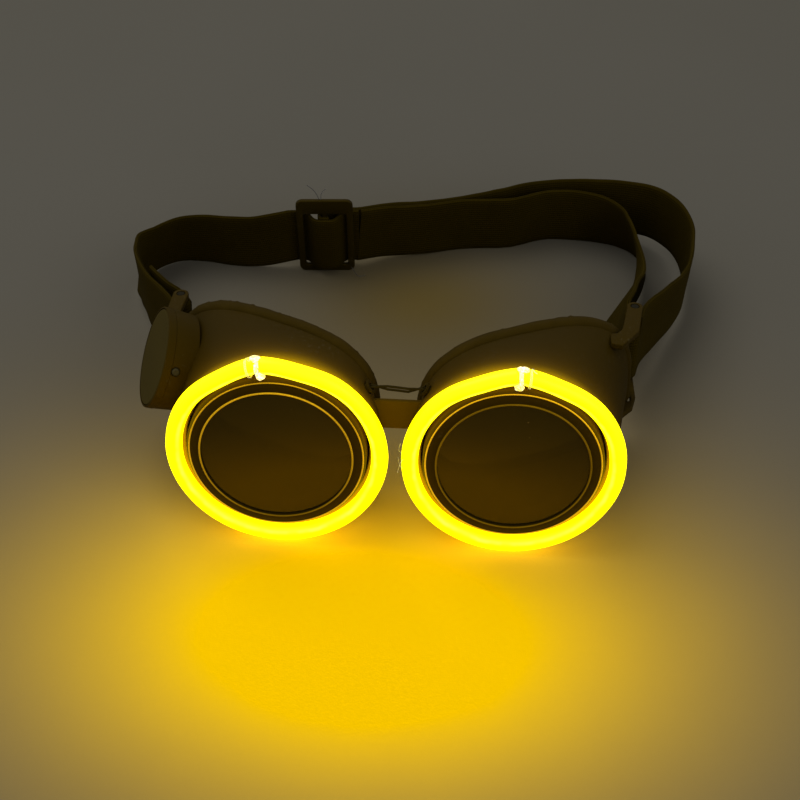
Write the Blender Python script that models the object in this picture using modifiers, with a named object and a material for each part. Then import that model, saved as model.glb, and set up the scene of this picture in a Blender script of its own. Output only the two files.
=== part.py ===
"""A pair of round cup goggles with a glowing light tube round each lens, as separate solid pieces.

Run with: blender --background --python part.py
Metres, +Z up. The goggles lie on the floor at z = 0 with their lenses towards -Y and the
elastic strap behind them. Left and right are as seen in the photograph.

Each cup is drawn in its own lens frame: x to the right, y up along the lens and z forwards out
of the lens, with the ring of light in the plane z = 0. Depth into the cup is therefore -z.
"""

import math

import bmesh
import bpy
from mathutils import Matrix, Vector

# Places of the whole pair
CENTRE_X = -0.0008
CENTRE_Y = 0.0662
LEAN = math.radians(14.8)
LEFT = -1
RIGHT = 1
GAP = 0.0003

# Lens and gasket; the neck they press on, the screwed ring round it and its channel
LENS_RADIUS = 0.0250
LENS_FRONT = 0.0013
LENS_THICKNESS = 0.0020
GASKET_INSIDE_LENS = 0.0012
GASKET_OUTSIDE_LENS = 0.0006
GASKET_INNER = LENS_RADIUS - GASKET_INSIDE_LENS
GASKET_OUTER = LENS_RADIUS + GASKET_OUTSIDE_LENS
GASKET_FRONT = LENS_THICKNESS - LENS_FRONT + GAP
GASKET_THICKNESS = 0.0008
BEZEL_LAP = 0.0015
BEZEL_OUTSIDE_LENS = 0.0030
BEZEL_WALL = 0.0016
BEZEL_FLANGE = 0.0014
BEZEL_APERTURE = LENS_RADIUS - BEZEL_LAP
BEZEL_OUTER = LENS_RADIUS + BEZEL_OUTSIDE_LENS
BEZEL_INNER = BEZEL_OUTER - BEZEL_WALL
BEZEL_FRONT = LENS_FRONT + GAP + BEZEL_FLANGE
NECK_LAP = 0.0010
NECK_INNER = LENS_RADIUS - NECK_LAP
NECK_OUTER = BEZEL_INNER - GAP
NECK_FRONT = GASKET_FRONT + GASKET_THICKNESS + GAP
CHANNEL_SPACE = 0.0006
CHANNEL_OUTER = BEZEL_OUTER + CHANNEL_SPACE
CHANNEL_FLOOR = 0.0070
BEZEL_REAR = CHANNEL_FLOOR - GAP

# Light tube, its filament and its tie; the goggles rest on the two tubes
TUBE_OUTSIDE_CHANNEL = 0.0034
TUBE_RING = CHANNEL_OUTER + TUBE_OUTSIDE_CHANNEL
TUBE_RADIUS = 0.0026
TUBE_BORE = 0.0011
TUBE_SPLIT = 0.0018
TUBE_STATIONS = 36
TUBE_SIDES = 10
NOSE_SPACE = 0.0040
RING_SPACING = 2 * (TUBE_RING + TUBE_RADIUS) + NOSE_SPACE
RING_HEIGHT = TUBE_RING * math.cos(LEAN) + TUBE_RADIUS
JOINT_ANGLE = {LEFT: math.radians(8.0), RIGHT: math.radians(0.5)}
FILAMENT_RADIUS = 0.0006
FILAMENT_END_INWARD = 0.0030
FILAMENT_END_RADIUS = TUBE_RING - FILAMENT_END_INWARD
FILAMENT_END_DEPTH = 0.0122
FILAMENT_HOLE = 0.0011
FILAMENT_HOLE_START = 0.0018
FILAMENT_HOLE_LENGTH = 0.0125
TIE_WIRE = 0.00035
TIE_OFFSET = 0.0028
TIE_NOTCH = (0.0016, 0.0080, 0.0024)
TIE_NOTCH_INWARD = 0.0005

# Cup: seat for the tube, then a body that spreads to the slanted rear rim
SEAT_FRONT = TUBE_RADIUS + GAP
SEAT_CHAMFER = 0.0004
SHOULDER_OUTSIDE_TUBE = 0.0004
SHOULDER_RADIUS = TUBE_RING + SHOULDER_OUTSIDE_TUBE
SHOULDER_DEPTH = 0.0080
WALL = 0.0020
RIM_HALF_WIDTH = 0.0338
RIM_HALF_HEIGHT = 0.0273
RIM_CENTRE = (0.0043, 0.0027)
RIM_TURN = math.radians(4.0)
RIM_POWER = 2.8
RIM_DEPTH = 0.02775
RIM_SLOPE = 0.38
RIM_SIDE = RIM_CENTRE[0] + RIM_HALF_WIDTH
RIM_SIDE_DEPTH = RIM_DEPTH + RIM_SLOPE * RIM_SIDE
CUP_SEGMENTS = 44
CUP_SECTIONS = 4

# Soft edging behind the rim
EDGING_RADIUS = 0.0022
EDGING_BEHIND = 0.00275
EDGING_DEPTH = RIM_DEPTH + EDGING_BEHIND

# Fineness of round pieces, and broken edges
ROUND_STEPS = 40
SMALL_STEPS = 20
EDGE_BREAK = 0.0003
BEZEL_BREAK = 0.0006

# Strap bars and their ears
BAR_OUTSIDE_RIM = 0.0011
BAR_BEHIND_RIM = 0.0136
BAR_SIDE = RIM_SIDE + BAR_OUTSIDE_RIM
BAR_DEPTH = RIM_SIDE_DEPTH + BAR_BEHIND_RIM
BAR_HEIGHT = {LEFT: 0.0072, RIGHT: 0.0100}
BAR_RADIUS = 0.00125
BAR_LENGTH = 0.0302
EAR_OFFSET = 0.0142
EAR_THICKNESS = 0.0020
EAR_RADIUS = 0.0026
# How far each point of the ears' outlines lies outside and behind the rim at their height
UPPER_EAR_FRONT = [(-0.0014, -0.0073), (0.0021, -0.0083), (0.0081, 0.0007)]
UPPER_EAR_BACK = [(0.0035, 0.0050), (0.0027, 0.0014), (0.0010, -0.0010), (-0.0014, -0.0015)]
LOWER_EAR_FRONT = [(-0.0043, -0.0077), (-0.0013, -0.0082), (0.0022, -0.0037), (0.0036, 0.0020)]
LOWER_EAR_BACK = [(0.0019, 0.0056), (0.0017, -0.0002), (-0.0006, -0.0014), (-0.0043, -0.0020)]

# Bridge strip between the cups
BRIDGE_DEPTH = 0.0125
BRIDGE_HEIGHT = 0.0080
BRIDGE_TALL = 0.0105
BRIDGE_THICKNESS = 0.0015
BRIDGE_HEAD_INNER = 0.0104
BRIDGE_HEAD_OUTER = 0.0126
BRIDGE_HEAD_THICKNESS = 0.0046
BRIDGE_SLOT_INWARD = 0.0024
BRIDGE_SLOT_PLACE = SHOULDER_RADIUS - BRIDGE_SLOT_INWARD
BRIDGE_SLOT_LENGTH = 0.0100

# Battery port on the outer side of the left cup; its frame has z out through the cover
PORT_CENTRE = (-0.0426, 0.01585, -0.0265)
PORT_AXIS = (-0.891, 0.361, 0.276)
PORT_MOUTH_RADIUS = 0.0165
PORT_ROOT_RADIUS = 0.0157
PORT_LENGTH = 0.0102
PORT_BORE = 0.0136
PORT_BORE_DEPTH = 0.0086
COVER_RADIUS = 0.0156
COVER_THICKNESS = 0.0012
CONTACT_LENGTH = 0.0180
CONTACT_WIDTH = 0.0050
CONTACT_THICKNESS = 0.0003
CELL_RADIUS = 0.0100
CELL_THICKNESS = 0.0016
CELL_DEPTH = 0.0021
TRAY_WALL = 0.0006
TRAY_FLOOR = 0.0008
BOARD_RADIUS = 0.0132
BOARD_THICKNESS = 0.0010
LEAD_HOLE = 0.0022
LEAD_HOLE_OFFSET = 0.0050
LEAD_HOLE_LENGTH = 0.0060
BUTTON_ANGLE = math.radians(115.0)
BUTTON_DEPTH = 0.0040
BUTTON_RADIUS = 0.0012
BUTTON_FLANGE = 0.0019
BUTTON_FLANGE_THICKNESS = 0.0006
BUTTON_INNER = 0.0137
BUTTON_PROUD = 0.0008
BUTTON_TRAVEL = 0.0005
BUTTON_BORE_START = 0.0120
BUTTON_BORE_END = 0.0190
SWITCH_WIDTH = 0.0045
SWITCH_THICKNESS = 0.0012
SWITCH_PLUNGER = 0.0007
SWITCH_RISE = 0.0018

# Leads and their grommets; places are (x, y, z) in the middle lens frame or a cup's own
LEAD_RADIUS = 0.0004
LEAD_SPREAD = 0.00055
LEAD_CLUSTER = 0.00105
LEAD_STEP = 0.0030
GROMMET_BORE = 0.0013
GROMMET_BODY = 0.0016
GROMMET_FLANGE = 0.0020
GROMMET_FLANGE_THICKNESS = 0.0006
GROMMET_STAND_OFF = 0.0008
GROMMET_HOLE_LENGTH = 0.0080
GROMMET_ANGLE = math.radians(147.0)
GROMMET_SHARE = 0.41

# Elastic strap and slider
STRAP_WIDTH = 0.0250
STRAP_THICKNESS = 0.0013
STRAP_FLOOR = 0.0126
STRAP_STEP = 0.0034
STRAP_FINE_STEP = 0.0016
BAR_WRAP = 0.0025
BAR_LEAN_START = 0.0850
BAR_LEAN_FADE = 0.0250
SLIDER_CENTRE = (-0.0334, 0.1160, 0.0176)
STRAP_BELOW_SLIDER = 0.0017
SLIDER_TURN = math.radians(3.5)
SLIDER_LENGTH = 0.0210
SLIDER_HEIGHT = 0.0350
SLIDER_THICKNESS = 0.0016
SLIDER_RAIL = 0.0028
SLIDER_SIDE_BAR = 0.0025
SLIDER_MIDDLE_BAR = 0.0020
SLIDER_CORNER = 0.0025


def clear_scene():
    """Remove every object of the open file."""
    for obj in list(bpy.data.objects):
        bpy.data.objects.remove(obj, do_unlink=True)


def new_collection(name, hidden=False):
    collection = bpy.data.collections.new(name)
    bpy.context.scene.collection.children.link(collection)
    collection.hide_render = hidden
    return collection


def new_material(name, colour, roughness, metallic=0.0, glow=None, glow_strength=0.0):
    material = bpy.data.materials.new(name)
    material.use_nodes = True
    shader = material.node_tree.nodes["Principled BSDF"]
    shader.inputs["Base Color"].default_value = (*colour, 1.0)
    shader.inputs["Roughness"].default_value = roughness
    shader.inputs["Metallic"].default_value = metallic
    if glow:
        shader.inputs["Emission Color"].default_value = (*glow, 1.0)
        shader.inputs["Emission Strength"].default_value = glow_strength
    material.diffuse_color = (*colour, 1.0)
    return material


def add_empty(name, parent=None, location=(0, 0, 0), rotation=None):
    empty = bpy.data.objects.new(name, None)
    empty.empty_display_size = 0.01
    PIECES.objects.link(empty)
    empty.parent = parent
    empty.location = location
    if rotation is not None:
        empty.rotation_mode = "QUATERNION"
        empty.rotation_quaternion = rotation
    return empty


def add_piece(name, data, material, parent, location=(0, 0, 0), rotation=None, smooth=True):
    """Link a mesh or curve as a named piece at its place under its parent."""
    obj = bpy.data.objects.new(name, data)
    PIECES.objects.link(obj)
    obj.parent = parent
    obj.location = location
    if rotation is not None:
        obj.rotation_euler = rotation
    data.materials.append(material)
    if smooth and isinstance(data, bpy.types.Mesh):
        data.shade_smooth()
        data.set_sharp_from_angle(angle=math.radians(35))
    return obj


def add_cutter(name, data, parent, location=(0, 0, 0), rotation=None):
    obj = bpy.data.objects.new(name, data)
    CUTTERS.objects.link(obj)
    obj.parent = parent
    obj.location = location
    if rotation is not None:
        obj.rotation_euler = rotation
    obj.hide_render = True
    obj.display_type = "WIRE"
    return obj


def cut(obj, cutter, operation="DIFFERENCE"):
    modifier = obj.modifiers.new(f"{operation.lower()} {cutter.name}", "BOOLEAN")
    modifier.operation = operation
    modifier.solver = "EXACT"
    modifier.object = cutter


def mesh_from(bm, name):
    bmesh.ops.recalc_face_normals(bm, faces=bm.faces)
    mesh = bpy.data.meshes.new(name)
    bm.to_mesh(mesh)
    bm.free()
    return mesh


def cylinder_mesh(name, radius, depth, steps=32, top_radius=None):
    """Cylinder or cone along z, centred on its middle."""
    bm = bmesh.new()
    bmesh.ops.create_cone(
        bm,
        cap_ends=True,
        segments=steps,
        radius1=radius,
        radius2=radius if top_radius is None else top_radius,
        depth=depth,
    )
    return mesh_from(bm, name)


def box_mesh(name, size):
    bm = bmesh.new()
    bmesh.ops.create_cube(bm, size=1.0)
    bmesh.ops.scale(bm, vec=Vector(size), verts=bm.verts)
    return mesh_from(bm, name)


def plate_mesh(name, outline, thickness):
    """Flat outline in x and y, thickened both ways along z."""
    bm = bmesh.new()
    corners = [bm.verts.new((x, y, -thickness / 2)) for x, y in outline]
    face = bm.faces.new(corners)
    raised = bmesh.ops.extrude_face_region(bm, geom=[face])
    moved = [item for item in raised["geom"] if isinstance(item, bmesh.types.BMVert)]
    bmesh.ops.translate(bm, vec=(0, 0, thickness), verts=moved)
    return mesh_from(bm, name)


def loft_mesh(name, rings):
    """Skin through a cycle of closed rings: the last ring joins the first."""
    bm = bmesh.new()
    loops = [[bm.verts.new(point) for point in ring] for ring in rings]
    for index, loop in enumerate(loops):
        after = loops[(index + 1) % len(loops)]
        for i in range(len(loop)):
            j = (i + 1) % len(loop)
            bm.faces.new((loop[i], loop[j], after[j], after[i]))
    return mesh_from(bm, name)


def turned_piece(
    name,
    profile,
    material,
    parent,
    location=(0, 0, 0),
    rotation=None,
    closed=True,
    steps=ROUND_STEPS,
):
    """Profile of (radius, z) points turned about z; an open profile ends on the axis."""
    mesh = bpy.data.meshes.new(name)
    points = [(radius, 0.0, z) for radius, z in profile]
    edges = [(i, i + 1) for i in range(len(points) - 1)]
    if closed:
        edges.append((len(points) - 1, 0))
    mesh.from_pydata(points, edges, [])
    obj = add_piece(name, mesh, material, parent, location, rotation, smooth=False)
    screw = obj.modifiers.new("turn", "SCREW")
    screw.steps = steps
    screw.render_steps = steps
    screw.use_merge_vertices = True
    screw.merge_threshold = 0.00001
    screw.use_smooth_shade = True
    return obj


def wire_curve(name, points, radius, cyclic=False, sides=2):
    """Round wire through the points, as a poly curve with a bevel."""
    curve = bpy.data.curves.new(name, "CURVE")
    curve.dimensions = "3D"
    curve.bevel_depth = radius
    curve.bevel_resolution = sides
    curve.use_fill_caps = True
    spline = curve.splines.new("POLY")
    spline.points.add(len(points) - 1)
    for point, place in zip(spline.points, points):
        point.co = (*place, 1.0)
    spline.use_cyclic_u = cyclic
    return curve


def smooth_route(points, step):
    """Points every step along a smooth curve through the given ones, of any dimension."""
    dense = []
    last = len(points) - 1
    for i in range(last):
        before = points[max(i - 1, 0)]
        start = points[i]
        end = points[i + 1]
        after = points[min(i + 2, last)]
        length = math.dist(start[:3], end[:3])
        count = max(1, round(length / step))
        for k in range(count):
            t = k / count
            dense.append(
                tuple(
                    0.5
                    * (
                        2 * b
                        + (c - a) * t
                        + (2 * a - 5 * b + 4 * c - d) * t**2
                        + (3 * b - a - 3 * c + d) * t**3
                    )
                    for a, b, c, d in zip(before, start, end, after)
                )
            )
    dense.append(tuple(points[last]))
    return dense


def rim_point(half_width, half_height, depth, side, angle):
    """Point of the face opening's rounded outline, in its slanted plane and the cup's lens frame."""
    across = abs(math.cos(angle) / half_width) ** RIM_POWER
    up = abs(math.sin(angle) / half_height) ** RIM_POWER
    radius = (across + up) ** (-1 / RIM_POWER)
    out = RIM_CENTRE[0] + radius * math.cos(angle + RIM_TURN)
    rise = RIM_CENTRE[1] + radius * math.sin(angle + RIM_TURN)
    return Vector((side * out, rise, -(depth + RIM_SLOPE * out)))


def rim_at_height(height):
    """How far out and how deep the outer end of the rim lies at a height in the lens frame."""
    low, high = -math.pi / 3, math.pi / 3
    for _ in range(30):
        middle = (low + high) / 2
        point = rim_point(RIM_HALF_WIDTH, RIM_HALF_HEIGHT, RIM_DEPTH, RIGHT, middle)
        low, high = (middle, high) if point.y < height else (low, middle)
    return point.x, -point.z


def circle_point(radius, depth, side, angle):
    turn = angle + RIM_TURN
    return Vector((side * radius * math.cos(turn), radius * math.sin(turn), -depth))


def rim_contour(half_width, half_height, depth, side):
    angles = [math.tau * i / CUP_SEGMENTS for i in range(CUP_SEGMENTS)]
    return [rim_point(half_width, half_height, depth, side, angle) for angle in angles]


def circle_ring(radius, depth, side):
    angles = [math.tau * i / CUP_SEGMENTS for i in range(CUP_SEGMENTS)]
    return [circle_point(radius, depth, side, angle) for angle in angles]


def wall_middle(side, angle, share):
    """Point inside the cup's wall, at an angle and a share of the way from the shoulder to the rim."""
    outer = circle_point(SHOULDER_RADIUS, SHOULDER_DEPTH, side, angle).lerp(
        rim_point(RIM_HALF_WIDTH, RIM_HALF_HEIGHT, RIM_DEPTH, side, angle), share
    )
    inner = circle_point(SHOULDER_RADIUS - WALL, CHANNEL_FLOOR + WALL, side, angle).lerp(
        rim_point(RIM_HALF_WIDTH - WALL, RIM_HALF_HEIGHT - WALL, RIM_DEPTH, side, angle), share
    )
    return (outer + inner) / 2


def blended_rings(first, last, fractions):
    return [[a.lerp(b, t) for a, b in zip(first, last)] for t in fractions]


def cup_rings(side):
    """Rings of the moulded cup: neck, channel, tube seat, outer wall, rim and inner wall."""
    steps = [i / CUP_SECTIONS for i in range(CUP_SECTIONS + 1)]
    outer = blended_rings(
        circle_ring(SHOULDER_RADIUS, SHOULDER_DEPTH, side),
        rim_contour(RIM_HALF_WIDTH, RIM_HALF_HEIGHT, RIM_DEPTH, side),
        steps,
    )
    inner_depth = CHANNEL_FLOOR + WALL
    inner = blended_rings(
        circle_ring(SHOULDER_RADIUS - WALL, inner_depth, side),
        rim_contour(RIM_HALF_WIDTH - WALL, RIM_HALF_HEIGHT - WALL, RIM_DEPTH, side),
        steps,
    )
    front = [
        circle_ring(NECK_OUTER, NECK_FRONT, side),
        circle_ring(NECK_OUTER, CHANNEL_FLOOR, side),
        circle_ring(CHANNEL_OUTER, CHANNEL_FLOOR, side),
        circle_ring(CHANNEL_OUTER, SEAT_FRONT, side),
        circle_ring(SHOULDER_RADIUS - SEAT_CHAMFER, SEAT_FRONT, side),
        circle_ring(SHOULDER_RADIUS, SEAT_FRONT + SEAT_CHAMFER, side),
    ]
    back = [
        circle_ring(NECK_INNER, inner_depth, side),
        circle_ring(NECK_INNER, NECK_FRONT, side),
    ]
    return front + outer + inner[::-1] + back


def joint_frame(side, offset=0.0):
    """Frame at the tube's joint: x along the tube, y outwards from the lens, z forwards."""
    angle = -side * JOINT_ANGLE[side] - side * offset / TUBE_RING
    return Matrix.Rotation(angle, 4, "Z")


def add_cup(side, name, centre):
    mesh = loft_mesh(f"{name}_eye_cup", cup_rings(side))
    cup = add_piece(f"{name}_eye_cup", mesh, BLACK_CUP, centre)
    add_ears(side, name, centre, cup)
    add_seat_cuts(side, name, centre, cup)
    add_bridge_slot(side, name, centre, cup)
    return cup


def add_ears(side, name, centre, cup):
    """Two lugs that carry the strap bar beyond the outer end of the rim."""
    tip = []
    for degrees in range(-10, 191, 25):
        angle = math.radians(degrees)
        out = BAR_SIDE + EAR_RADIUS * math.cos(angle)
        tip.append((out, BAR_DEPTH + EAR_RADIUS * math.sin(angle)))
    for level, offset, sides in (
        ("upper", EAR_OFFSET, (UPPER_EAR_FRONT, UPPER_EAR_BACK)),
        ("lower", -EAR_OFFSET, (LOWER_EAR_FRONT, LOWER_EAR_BACK)),
    ):
        rim_side, rim_depth = rim_at_height(BAR_HEIGHT[side] + offset)
        front, back = [
            [(rim_side + out, rim_depth + behind) for out, behind in points]
            for points in sides
        ]
        outline = [(side * out, depth) for out, depth in front + tip + back]
        ear = add_cutter(
            f"{name}_{level}_ear",
            plate_mesh(f"{name}_{level}_ear", outline, EAR_THICKNESS),
            centre,
            (0, BAR_HEIGHT[side] + offset, 0),
            (math.radians(-90), 0, 0),
        )
        cut(cup, ear, "UNION")
    bore = add_cutter(
        f"{name}_bar_bore",
        cylinder_mesh(f"{name}_bar_bore", BAR_RADIUS + GAP, 1.3 * BAR_LENGTH, 16),
        centre,
        (side * BAR_SIDE, BAR_HEIGHT[side], -BAR_DEPTH),
        (math.radians(90), 0, 0),
    )
    cut(cup, bore)


def filament_slope():
    """Unit direction of the straight exit from the tube's centre into the cup."""
    return Vector((0, FILAMENT_END_RADIUS - TUBE_RING, -FILAMENT_END_DEPTH)).normalized()


def add_seat_cuts(side, name, centre, cup):
    """Hole for the filament and notch for the tie in the seat behind the tube."""
    frame = joint_frame(side)
    slope = filament_slope()
    reach = FILAMENT_HOLE_START + FILAMENT_HOLE_LENGTH / 2
    middle = frame @ (Vector((0, TUBE_RING, 0)) + slope * reach)
    hole = add_cutter(
        f"{name}_filament_hole",
        cylinder_mesh(f"{name}_filament_hole", FILAMENT_HOLE, FILAMENT_HOLE_LENGTH, 16),
        centre,
        middle,
        (frame.to_3x3() @ slope).to_track_quat("Z", "Y").to_euler(),
    )
    cut(cup, hole)
    notch_frame = joint_frame(side, TIE_OFFSET)
    notch = add_cutter(
        f"{name}_tie_notch",
        box_mesh(f"{name}_tie_notch", TIE_NOTCH),
        centre,
        notch_frame @ Vector((0, TUBE_RING - TIE_NOTCH_INWARD, -SEAT_FRONT)),
        notch_frame.to_euler(),
    )
    cut(cup, notch)


def add_bridge_slot(side, name, centre, cup):
    slot = add_cutter(
        f"{name}_bridge_slot",
        box_mesh(
            f"{name}_bridge_slot",
            (BRIDGE_SLOT_LENGTH, BRIDGE_TALL + 2 * GAP, BRIDGE_THICKNESS + 2 * GAP),
        ),
        centre,
        (-side * BRIDGE_SLOT_PLACE, BRIDGE_HEIGHT, -BRIDGE_DEPTH),
    )
    cut(cup, slot)


def grommet_place(side):
    """Middle of the lead hole in the nose side of the cup's wall, and its outward direction."""
    place = wall_middle(side, GROMMET_ANGLE, GROMMET_SHARE)
    step = 0.01
    round_wall = wall_middle(side, GROMMET_ANGLE + step, GROMMET_SHARE) - place
    along_wall = wall_middle(side, GROMMET_ANGLE, GROMMET_SHARE + step) - place
    direction = round_wall.cross(along_wall).normalized()
    outwards = direction.x * place.x + direction.y * place.y
    return place, direction if outwards > 0 else -direction


def add_grommet(side, name, centre, cup):
    place, direction = grommet_place(side)
    turn = direction.to_track_quat("Z", "Y").to_euler()
    hole = add_cutter(
        f"{name}_lead_hole",
        cylinder_mesh(f"{name}_lead_hole", GROMMET_BODY + GAP, GROMMET_HOLE_LENGTH, SMALL_STEPS),
        centre,
        place,
        turn,
    )
    cut(cup, hole)
    half = WALL / 2 + GROMMET_STAND_OFF
    end = half + GROMMET_FLANGE_THICKNESS
    profile = [
        (GROMMET_BORE, end),
        (GROMMET_FLANGE + EDGE_BREAK, end),
        (GROMMET_FLANGE + EDGE_BREAK, half),
        (GROMMET_BODY, half),
        (GROMMET_BODY, -half),
        (GROMMET_FLANGE, -half),
        (GROMMET_FLANGE, -end),
        (GROMMET_BORE, -end),
    ]
    turned_piece(
        f"{name}_lead_grommet", profile, SOFT_BLACK, centre, place, turn, steps=SMALL_STEPS
    )


def add_lens_parts(side, name, centre):
    """Screwed bezel, dark lens and gasket, all turned about the lens axis."""
    flange_rear = BEZEL_FRONT - BEZEL_FLANGE
    bezel_profile = [
        (BEZEL_APERTURE, BEZEL_FRONT - BEZEL_BREAK),
        (BEZEL_APERTURE + BEZEL_BREAK, BEZEL_FRONT),
        (BEZEL_OUTER - BEZEL_BREAK, BEZEL_FRONT),
        (BEZEL_OUTER, BEZEL_FRONT - BEZEL_BREAK),
        (BEZEL_OUTER, -BEZEL_REAR),
        (BEZEL_INNER, -BEZEL_REAR),
        (BEZEL_INNER, flange_rear),
        (BEZEL_APERTURE, flange_rear),
    ]
    turned_piece(f"{name}_lens_bezel", bezel_profile, BEZEL_BLACK, centre)
    lens_profile = [
        (0.0, LENS_FRONT),
        (LENS_RADIUS - EDGE_BREAK, LENS_FRONT),
        (LENS_RADIUS, LENS_FRONT - EDGE_BREAK),
        (LENS_RADIUS, LENS_FRONT - LENS_THICKNESS),
        (0.0, LENS_FRONT - LENS_THICKNESS),
    ]
    turned_piece(f"{name}_lens", lens_profile, DARK_GLASS, centre, closed=False)
    gasket_profile = [
        (GASKET_INNER, -GASKET_FRONT),
        (GASKET_OUTER, -GASKET_FRONT),
        (GASKET_OUTER, -GASKET_FRONT - GASKET_THICKNESS),
        (GASKET_INNER, -GASKET_FRONT - GASKET_THICKNESS),
    ]
    turned_piece(f"{name}_lens_gasket", gasket_profile, SOFT_BLACK, centre)


def ring_point(side, along, radius=TUBE_RING, depth=0.0):
    """Point at an arc length from the tube's joint, measured towards the outer side."""
    angle = JOINT_ANGLE[side] + along / TUBE_RING
    return Vector((side * radius * math.sin(angle), radius * math.cos(angle), -depth))


def tube_section(side, along, radius, sides):
    """Circle across the tube at an arc length from its joint."""
    ring = []
    for i in range(sides):
        angle = math.tau * i / sides
        reach = TUBE_RING + radius * math.cos(angle)
        ring.append(ring_point(side, along, reach, radius * math.sin(angle)))
    return ring


def add_light(side, name, centre):
    """Hollow light tube, the filament in it and the wire tie at its joint."""
    whole = math.tau * TUBE_RING
    start = TUBE_SPLIT / 2
    step = (whole - TUBE_SPLIT) / TUBE_STATIONS
    stations = [start + step * i for i in range(TUBE_STATIONS + 1)]
    outside = [tube_section(side, along, TUBE_RADIUS, TUBE_SIDES) for along in stations]
    inside = [tube_section(side, along, TUBE_BORE, TUBE_SIDES) for along in stations]
    add_piece(
        f"{name}_light_tube",
        loft_mesh(f"{name}_light_tube", outside + inside[::-1]),
        GLOW_TUBE,
        centre,
    )
    route = [ring_point(side, along) for along in stations[1:-1]]
    route.append(ring_point(side, whole - 0.0014))
    route.append(ring_point(side, whole - 0.0007, TUBE_RING - 0.00005, 0.00015))
    route.append(ring_point(side, whole - 0.0002, TUBE_RING - 0.0002, 0.0006))
    for depth in (0.0012, 0.0024, 0.0060, FILAMENT_END_DEPTH):
        fraction = depth / FILAMENT_END_DEPTH
        radius = TUBE_RING + (FILAMENT_END_RADIUS - TUBE_RING) * fraction
        route.append(ring_point(side, whole, radius, depth))
    filament = wire_curve(f"{name}_led_filament", route, FILAMENT_RADIUS, sides=1)
    add_piece(f"{name}_led_filament", filament, FILAMENT, centre)
    tie_ring = TUBE_RADIUS + GAP + TIE_WIRE
    loop = tube_section(side, TIE_OFFSET, tie_ring, SMALL_STEPS)
    tie = wire_curve(f"{name}_tube_tie", loop, TIE_WIRE, cyclic=True, sides=1)
    add_piece(f"{name}_tube_tie", tie, CLEAR_TIE, centre)


def edging_route(side):
    """Middle line of the soft bead, in the plane behind the middle of the rim."""
    half_width = RIM_HALF_WIDTH - WALL / 2
    half_height = RIM_HALF_HEIGHT - WALL / 2
    return rim_contour(half_width, half_height, EDGING_DEPTH, side)


def add_edging(side, name, centre):
    curve = wire_curve(f"{name}_face_edging", edging_route(side), EDGING_RADIUS, cyclic=True)
    add_piece(f"{name}_face_edging", curve, SOFT_BLACK, centre)


def add_strap_bar(side, name, centre):
    add_piece(
        f"{name}_strap_bar",
        cylinder_mesh(f"{name}_strap_bar", BAR_RADIUS, BAR_LENGTH, SMALL_STEPS),
        STEEL,
        centre,
        (side * BAR_SIDE, BAR_HEIGHT[side], -BAR_DEPTH),
        (math.radians(90), 0, 0),
    )


def port_cylinder(name, radius, top, bottom, port, steps=48, top_radius=None):
    """Cutter between two depths below the port's mouth."""
    mesh = cylinder_mesh(name, radius, bottom - top, steps, top_radius)
    return add_cutter(name, mesh, port, (0, 0, -(top + bottom) / 2))


def add_port_housing(cup, port, centre):
    """Barrel of the battery port, moulded with the left cup."""
    barrel = port_cylinder(
        "port_barrel", PORT_ROOT_RADIUS, 0.0, PORT_LENGTH, port, top_radius=PORT_MOUTH_RADIUS
    )
    cut(cup, barrel, "UNION")
    seat = COVER_THICKNESS + GAP
    cut(cup, port_cylinder("port_counterbore", COVER_RADIUS + GAP, -0.002, seat, port))
    cut(cup, port_cylinder("port_bore", PORT_BORE, -0.001, PORT_BORE_DEPTH, port))
    lead_hole = add_cutter(
        "port_lead_hole",
        cylinder_mesh("port_lead_hole", LEAD_HOLE, LEAD_HOLE_LENGTH, 16),
        port,
        (-LEAD_HOLE_OFFSET, 0, -PORT_BORE_DEPTH - LEAD_HOLE_LENGTH / 6),
    )
    cut(cup, lead_hole)
    cut(cup, add_cutter("edging_room", edging_room_mesh(), centre))
    recess_end = BUTTON_INNER + BUTTON_FLANGE_THICKNESS + BUTTON_PROUD / 2
    for name, radius, outer in (
        ("button_bore", BUTTON_RADIUS + GAP, BUTTON_BORE_END),
        ("button_recess", BUTTON_FLANGE + GAP, recess_end),
    ):
        radial = add_cutter(
            name,
            cylinder_mesh(name, radius, outer - BUTTON_BORE_START, SMALL_STEPS),
            port,
            radial_place((BUTTON_BORE_START + outer) / 2),
            radial_turn(),
        )
        cut(cup, radial)


def edging_room_mesh():
    """Ring a little thicker than the left edging, which keeps the port's barrel clear of it."""
    route = edging_route(LEFT)
    radius = EDGING_RADIUS + 1.4 * GAP
    rings = []
    for i, middle in enumerate(route):
        along = (route[(i + 1) % len(route)] - route[i - 1]).normalized()
        rim_centre = Vector((LEFT * RIM_CENTRE[0], RIM_CENTRE[1], middle.z))
        across = along.cross(middle - rim_centre).normalized()
        outward = across.cross(along).normalized()
        ring = []
        for k in range(12):
            angle = math.tau * k / 12
            ring.append(middle + radius * (math.cos(angle) * outward + math.sin(angle) * across))
        rings.append(ring)
    return loft_mesh("edging_room", rings)


def radial_place(radius):
    return Vector((radius * math.cos(BUTTON_ANGLE), radius * math.sin(BUTTON_ANGLE), -BUTTON_DEPTH))


def radial_turn():
    direction = Vector((math.cos(BUTTON_ANGLE), math.sin(BUTTON_ANGLE), 0))
    return direction.to_track_quat("Z", "Y").to_euler()


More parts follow.
